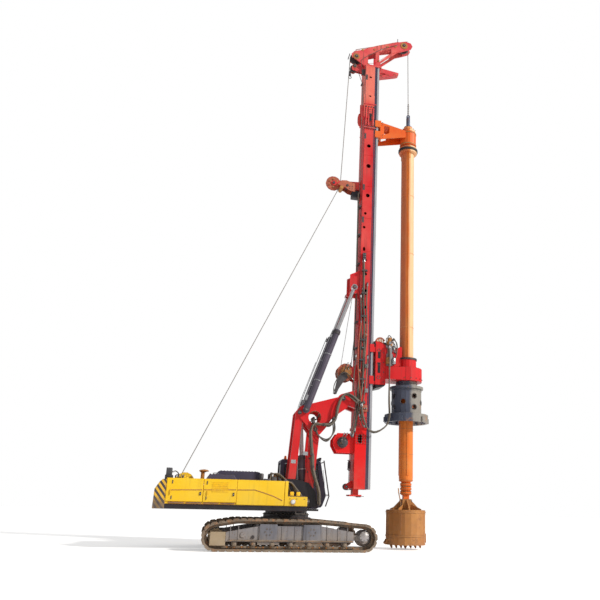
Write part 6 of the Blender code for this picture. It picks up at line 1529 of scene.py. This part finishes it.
def aux_arm():
    """The dark arm with its hoses that hangs behind the auxiliary winch."""
    shape = ((1.83, 6.06), (1.62, 5.92), (1.50, 5.66), (1.42, 5.22), (1.50, 5.16), (1.58, 5.36), (1.74, 5.62), (1.90, 5.78))
    rows = [(dark_iron, plate(shape, -0.345, -0.315, 0.006), bar((1.46, -0.38, 5.22), (1.46, -0.24, 5.22), 0.05, 14))]
    for i in range(3):
        out = i * 0.02
        low = ((1.46 - i * 0.03, -0.36, 5.20), (1.40, -0.37 - out, 5.45))
        rows += hose((*low, (1.56, -0.38, 5.80), (1.80, -0.39 - out, 5.96), (2.10, -0.40, 5.70)), 0.014, hose_rubber, 5)
    piece("aux_winch_arm", "mast", *rows)


mast_trim()
mast_foot()
pulley_details()
head_details()
for row in WINCHES:
    winch_cover(*row)
aux_arm()


# Drive, adapter, bar, guide, bucket
MOTOR_CAP = ((0, 0), (0.10, 0), (0.115, 0.02), (0.115, 0.16), (0.085, 0.19), (0.085, 0.30), (0.06, 0.32), (0, 0.32))


def on_bar(z, angle=0.0):
    """A frame on the axis of the bar."""
    return up_at(KELLY_X, 0, z, angle)


def drive_details():
    """Bolts, collar, motor caps with their hoses, pads and ports of the rotary drive."""
    rows = [(dark_iron, bolts_round(on_bar(6.305), 24, 0.50))]
    rows.append((dark_iron, turned(((0.362, 0), (0.385, 0), (0.385, 0.07), (0.362, 0.07)), on_bar(6.63), 32)))
    for angle in round_angles(16):
        out = Vector((cos(angle), sin(angle), 0))
        foot = Vector((KELLY_X, 0, 5.90)) + out * 0.575
        rows.append((dark_iron, bar(foot - out * 0.01, foot + out * 0.02, 0.018, 6)))
    # A plate under the gearbox, black: painted shade under the drive.
    rows.append((deck_black, plate(((2.91, 5.595), (3.27, 5.595), (3.25, 5.56), (2.93, 5.47)), -0.40, 0.40, 0.006)))
    for x, y, finish in ((3.42, 0.40, dark_iron), (3.42, -0.40, rusted), (3.52, 0.0, dark_iron)):
        rows.append((finish, turned(MOTOR_CAP, up_at(x, y, 7.052))))
        rows.append((bright_steel, bolts_round(up_at(x, y, 7.20), 6, 0.098, 0.012, 0.012)))
        rows.append((bright_steel, slab((x - 0.05, y - 0.14, 7.10), (x + 0.05, y - 0.09, 7.20))))
    for i in range(4):
        y = -0.46 - i * 0.022
        crest = (3.56, y - 0.02, 7.34 - i * 0.03)
        loop = ((3.46, y, 7.18), crest, (3.68, y, 7.10), (3.66, y, 6.72), (3.56, y, 6.42 - i * 0.02))
        rows += hose(loop, 0.016, old_hose if i % 2 else hose_rubber, 5)
    for z in (5.72, 6.98):
        rows += [(deck_black, slab((2.84, way * 0.30, z), (2.895, way * 0.40, z + 0.22), 0.008)) for way in SIDES]
    for z in (5.86, 6.36, 6.86):
        for way in SIDES:
            rows.append((dark_iron, bolts_round(across_at(3.02, way * 0.421, z, way), 6, 0.055, 0.014, 0.014)))
    for i in range(5):
        x = 2.96 + i * 0.06
        rows.append((rusted, bar((x, -0.30, 7.05), (x, -0.30, 7.32 + 0.02 * sin(i)), 0.022, 8)))
    piece("drive_fittings", "drive", *rows)


def adapter_details():
    """Bolts of the two flanges, fins, seams and the rims of the holes of the casing adapter."""
    rows = [(dark_iron, bolts_round(on_bar(z), 18, ring, 0.02, 0.024)) for z, ring in ((4.315, 0.72), (5.545, 0.56))]
    fin = ((0.552, 4.33), (0.70, 4.33), (0.585, 4.56), (0.552, 4.62))
    rows.append((blue_steel, *[moved(plate(fin, -0.012, 0.012, 0.002), on_bar(0, angle)) for angle in round_angles(10)]))
    rows.append((dusty_drum, *[hoop(on_bar(z), 0.552, 0.012, 44, 6) for z in (4.64, 5.46)]))
    for i, angle in enumerate(round_angles(8)):
        for z in (5.04,) if i % 2 else (4.85, 5.25):
            out = on_bar(z, angle - 1.29) @ Matrix.Rotation(pi / 2, 4, "Y") @ Matrix.Translation((0, 0, 0.549))
            rows.append((dark_iron, hoop(out, 0.098, 0.008, 20, 6)))
    piece("adapter_fittings", "adapter", *rows)


def bar_details():
    """Seams, buffer ring and stops of the bar, and the pin between its foot and the bucket."""
    stop = ((0.25, 15.05), (0.285, 15.10), (0.285, 15.36), (0.25, 15.37))
    piece(
        "bar_fittings",
        "outer_bar",
        (rusted, *[hoop(on_bar(2.30 + i * 0.9), 0.252, 0.006, 28, 6) for i in range(5)]),
        (orange, *[hoop(on_bar(z), 0.253, 0.007, 28, 6) for z in (7.9, 10.9, 13.4)]),
        (rubber, turned(((0.374, 0), (0.40, 0.015), (0.40, 0.10), (0.374, 0.115)), on_bar(15.44), 36)),
        (dark_iron, bolts_round(on_bar(15.385), 12, 0.335, 0.016, 0.014)),
        (orange, *[moved(plate(stop, -0.035, 0.035, 0.004), on_bar(0, angle)) for angle in (0.5, 2.6, 4.7)]),
    )
    low, high = KELLY_X - 0.19, KELLY_X + 0.19
    heads = [bar((x, 0, 1.60), (x + 0.03, 0, 1.60), 0.055, 6) for x in (low - 0.03, high)]
    piece(
        "bar_foot_pin",
        "inner_bar",
        (rusted, *[hoop(on_bar(1.84 + i * 0.085), 0.195, 0.014, 26, 6) for i in range(5)]),
        (bright_steel, bar((low, 0, 1.60), (high, 0, 1.60), 0.035, 14)),
        (dark_iron, *heads),
    )


def guide_details():
    rows = [(dark_iron, bolts_round(on_bar(16.465), 12, 0.30, 0.016, 0.018))]
    rows.append((rusted, *[band(on_bar(z), 0.332, 0.345, 0.04, 0.006, 32) for z in (15.74, 16.26)]))
    for z in (15.80, 16.38):
        for way in SIDES:
            rows.append((deck_black, slab((2.845, way * 0.25, z), (2.895, way * 0.37, z + 0.16))))
            corner = across_at(2.93, way * 0.331, z + 0.02, way)
            rows.append((dark_iron, bolts_on(corner, 2, 2, 0.08, -way * 0.10, 0.014, 0.014)))
    piece("guide_fittings", "guide", *rows)


def bucket_details():
    """Rims, seam, ribs, latch, and the rod with its spring that opens the bucket's door."""
    rib = ((0.14, 1.302), (0.62, 1.302), (0.62, 1.33), (0.20, 1.50), (0.14, 1.50))
    seam_x = KELLY_X - 0.34
    spring = [(3.97 + 0.035 * cos(k * 0.9), -0.14 + 0.035 * sin(k * 0.9), 1.34 + k * 0.006) for k in range(36)]
    rod = ((3.90, -0.10, 2.02), (3.91, -0.12, 1.86), (3.96, -0.14, 1.60), (3.98, -0.14, 1.34))
    piece(
        "bucket_fittings",
        "inner_bar",
        (rusted, *[band(on_bar(z), 0.692, 0.704, 0.05, 0.004, 44) for z in (0.42, 1.20)]),
        (rusted, thin(((seam_x, -0.602, 0.50), (seam_x, -0.602, 1.19)), 0.008), pipe(rod, 0.018, 8, 4)),
        (dark_iron, thin(spring, 0.006, 5), disc(up_at(3.97, -0.14, 1.32), 0.06, 0.02, 14)),
        (rusted, *[moved(plate(rib, -0.012, 0.012, 0.003), on_bar(0, angle)) for angle in (0.8, 2.4, 4.0, 5.5)]),
        (rusted, slab((KELLY_X + 0.694, -0.07, 0.22), (KELLY_X + 0.735, 0.07, 0.52), 0.01)),
    )


drive_details()
adapter_details()
bar_details()
guide_details()
bucket_details()


# Tracks and slew ring
SIDE_NAMES = (("right", -1), ("left", 1))
ROLLER_CAP = ((0, 0), (0.07, 0), (0.07, 0.02), (0.045, 0.045), (0.03, 0.05), (0, 0.05))
IDLER_HUB = ((0, 0), (0.15, 0), (0.15, 0.02), (0.10, 0.035), (0.055, 0.06), (0, 0.06))
FRAME_Y = 1.875


def track_details():
    for side, way in SIDE_NAMES:
        caps = [turned(ROLLER_CAP, across_at(-1.72 + k * (3.40 / 6), way * 1.86, 0.205, way), 16) for k in range(7)]
        idler = across_at(2.28, way * 1.92, 0.475, way)
        hub = (bright_steel, turned(IDLER_HUB, idler, 26))
        bolts = (dark_iron, bolts_round(idler @ up_at(0, 0, 0.024), 8, 0.125, 0.014, 0.016))
        piece(f"roller_caps_{side}", "undercarriage", (track_steel, *caps), hub, bolts)


def slew_details():
    bolts = bolts_round(up_at(0, 0, 1.10), 36, 0.73, 0.018, 0.022)
    seal = hoop(up_at(0, 0, 1.085), 0.77, 0.012, 60, 6)
    piece("slew_ring_bolts", "undercarriage", (dark_iron, bolts), (rubber, seal))


def frame_blocks():
    """Raised blocks with bolts, boss, inspection hole, ribs and a dirt ledge on each track frame."""
    for side, way in SIDE_NAMES:

        def face(x, z, out):
            return x, way * (FRAME_Y + out), z

        rows = []
        for low, high in ((-0.99, -0.45), (0.35, 0.92)):
            rows.append((block_blue, slab(face(low, 0.34, -0.03), face(high, 0.80, 0.045), 0.02, 2)))
        # A black disc stands for the inspection hole: painted shade.
        rows.append((deck_black, disc(across_at(*face(-1.177, 0.42, -0.02), way), 0.05, 0.05, 16, 0.01)))
        rows.append((frame_grey, disc(across_at(*face(-1.48, 0.48, -0.02), way), 0.085, 0.045, 22, 0.012)))
        rows.append((track_steel, hoop(across_at(*face(-1.48, 0.48, 0.018), way), 0.07, 0.008, 22, 6)))
        for x in (-1.86, -1.62, -0.30, 0.10, 1.10, 1.45, 1.75):
            rows.append((frame_grey, slab(face(x - 0.012, 0.34, -0.02), face(x + 0.012, 0.74, 0.012), 0.004)))
        rows.append((track_steel, slab(face(-1.90, 0.300, -0.02), face(1.92, 0.335, 0.05), 0.008)))
        for x in (-0.72, 0.63):
            rows.append((dark_iron, bolts_round(across_at(*face(x, 0.57, 0.045), way), 6, 0.10, 0.018, 0.016)))
        piece(f"frame_blocks_{side}", "undercarriage", *rows)


def chain_links():
    """Track chain links inside each loop, with a bushing end for every shoe."""
    for side, way in SIDE_NAMES:
        rows = []
        for i in range(19):
            x = -2.02 + i * 0.216
            rows.append((track_steel, slab((x - 0.09, way * 1.72, 0.09), (x + 0.09, way * 1.79, 0.165), 0.01)))
            rows.append((rusted, bar((x + 0.1, way * 1.70, 0.125), (x + 0.1, way * 1.80, 0.125), 0.026)))
        piece(f"chain_links_{side}", "undercarriage", *rows)


track_details()
slew_details()
frame_blocks()
chain_links()


# Splice, hoses and fittings at the mast foot, covers of the drive, bosses of the masthead
def splice_plates():
    """The upper splice's lugs, dark slots, ridges and bolts, and small pads along the mast."""
    lug = ((2.20, 16.55), (2.12, 16.60), (2.08, 16.75), (2.08, 17.0), (2.12, 17.15), (2.20, 17.2))
    rows = []
    for way in SIDES:

        def face(x, z, out):
            return x, way * (MAST_Y + out), z

        rows.append((head_red, plate(lug, way * 0.30, way * 0.34, 0.006)))
        # Black sheets stand for the splice's slots: painted shade.
        rows.append((deck_black, slab(face(2.42, 16.42, -0.004), face(2.52, 16.78, 0.006))))
        for x in (2.28, 2.39, 2.58):
            rows.append((head_red, slab(face(x - 0.02, 16.22, -0.004), face(x + 0.02, 17.05, 0.03), 0.008)))
        for z in (16.16, 17.10):
            rows.append((dark_iron, bolts_on(across_at(*face(2.28, z, 0), way), 4, 1, 0.11, 0.1, 0.024, 0.026)))
        for z in (16.12, 17.22):
            rows.append((head_red, slab(face(2.21, z - 0.02, -0.004), face(2.70, z + 0.02, 0.02))))
    piece("splice_plates", "mast", *rows)
    pads = []
    for way in SIDES:
        for z in (18.4, 15.6, 13.3, 11.9):
            pads.append(slab((2.24, way * 0.379, z), (2.32, way * 0.388, z + 0.25), 0.004))
    piece("mast_pads", "mast", (dark_iron, *pads))


FOOT_ROUTES = (
    (
        0.024,
        old_hose,
        (
            *((2.52, 9.40), (2.50, 8.6), (2.54, 7.6), (2.50, 6.7), (2.46, 5.9)),
            *((2.40, 5.2), (2.30, 4.6), (2.24, 4.2), (2.20, 3.9)),
        ),
    ),
    (
        0.019,
        hose_rubber,
        ((2.26, 8.90), (2.30, 8.0), (2.34, 7.0), (2.30, 6.2), (2.26, 5.4), (2.20, 4.8), (2.12, 4.2), (2.05, 3.75)),
    ),
    (0.022, old_hose, ((2.58, 6.60), (2.56, 6.0), (2.52, 5.4), (2.46, 4.9), (2.40, 4.5), (2.44, 4.15), (2.56, 4.05))),
    (0.017, worn_red, ((2.30, 7.90), (2.24, 7.2), (2.22, 6.5), (2.26, 5.8), (2.34, 5.2), (2.40, 4.7), (2.36, 4.3))),
    (0.02, hose_rubber, ((2.14, 6.60), (2.10, 6.0), (2.08, 5.5), (2.14, 5.1), (2.28, 4.8), (2.34, 4.4))),
)
FOOT_BLOCKS = (
    (2.50, 4.92),
    (2.36, 5.02),
    (2.58, 5.35),
    (2.44, 5.62),
    (2.30, 6.05),
    (2.56, 6.25),
    (2.40, 6.9),
    (2.52, 7.4),
)


def foot_hoses():
    """Hoses and fittings that crowd the right side of the lower mast."""
    rows = []
    for i, (radius, finish, route) in enumerate(FOOT_ROUTES):
        y = -0.42 - 0.028 * i
        rows += hose([(x, y - 0.03 * sin(j * 1.3 + i), z) for j, (x, z) in enumerate(route)], radius, finish, 6)
    for i, (x, z) in enumerate(FOOT_BLOCKS):
        size = 0.045 + 0.008 * (i % 3)
        block = slab((x - size, -0.46, z - size * 1.2), (x + size, -0.381, z + size * 1.2), 0.01)
        rows.append(((dark_iron, worn_red, bright_steel)[i % 3], block))
        rows.append((bright_steel, bar((x, -0.50, z), (x, -0.45, z), size * 0.5, 6)))
    rows.append((worn_red, slab((2.30, -0.48, 4.58), (2.62, -0.381, 4.82), 0.012, 2)))
    ports = [2.35 + 0.075 * k for k in range(4)]
    rows.append((bright_steel, *[bar((x, -0.53, 4.70), (x, -0.47, 4.70), 0.026, 6) for x in ports]))
    piece("foot_hoses", "mast", *rows)


def drive_shapes():
    """Cheeks, slots, domes and filters on the two sides of the rotary drive."""
    cheek = ((3.29, 6.31), (3.78, 6.31), (3.72, 6.52), (3.52, 6.74), (3.44, 7.02), (3.29, 7.10))
    dome = ((2.92, 7.24), (3.00, 7.34), (3.14, 7.36), (3.26, 7.26))
    can = ((0, 0), (0.075, 0), (0.08, 0.02), (0.08, 0.20), (0.06, 0.24), (0, 0.245))
    rows = []
    for way in SIDES:
        rows.append((red, plate(cheek, way * 0.405, way * 0.43)))
        for x, z, radius in ((3.40, 6.86, 0.05), (3.46, 6.56, 0.055)):
            rows.append((deck_black, disc(across_at(x, way * 0.43, z, way), radius, 0.008, 18, 0.003)))
        # Black sheets stand for the slots in the drive's sides: painted shade.
        for low, high in ((6.02, 6.40), (6.56, 6.80)):
            rows.append((deck_black, slab((2.98, way * 0.415, low), (3.08, way * 0.428, high), 0.008)))
        rows.append((worn_red, pipe([(x, way * 0.30, z) for x, z in dome], 0.03, 8, 4)))
        for k in range(5):
            rows.append((dark_iron, disc(across_at(3.20, way * 0.42, 5.70 + k * 0.36, way), 0.022, 0.018, 6, 0.004)))
    for x, finish in ((3.34, rusted), (3.56, bright_steel)):
        rows.append((finish, turned(can, up_at(x, -0.50, 6.36), 16)))
    piece("drive_covers", "drive", *rows)


HEAD_BOSSES = (
    (2.10, 19.98, 0.05),
    (2.62, 20.10, 0.045),
    (3.20, 20.36, 0.05),
    (2.36, 19.30, 0.05),
    (2.80, 19.55, 0.04),
    (3.55, 20.45, 0.05),
)


def head_bosses():
    """Rust-brown bosses, top seams and small blank plates of the masthead."""
    bosses, seams = [], []
    for way in SIDES:
        bosses += [disc(across_at(x, way * 0.20, z, way), radius, 0.02, 14, 0.005) for x, z, radius in HEAD_BOSSES]
        seams.append(thin([(x, way * 0.19, z) for x, z in ((1.80, 19.93), (2.70, 20.29), (3.58, 20.66))], 0.014))
    plates = [(2.90, 18.90), (3.20, 18.98), (3.50, 19.06)]
    plates = [slab((x, -0.118, z), (x + 0.10, -0.108, z + 0.05), 0.003) for x, z in plates]
    piece("head_bosses", "mast", (rusted, *bosses), (worn_red, *seams, *plates))


splice_plates()
foot_hoses()
drive_shapes()
head_bosses()


low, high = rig.bounds()
with open("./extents.json", "w") as out:
    json.dump({"cad": [list(cad_box[0]), list(cad_box[1])], "seen": [list(low), list(high)]}, out)
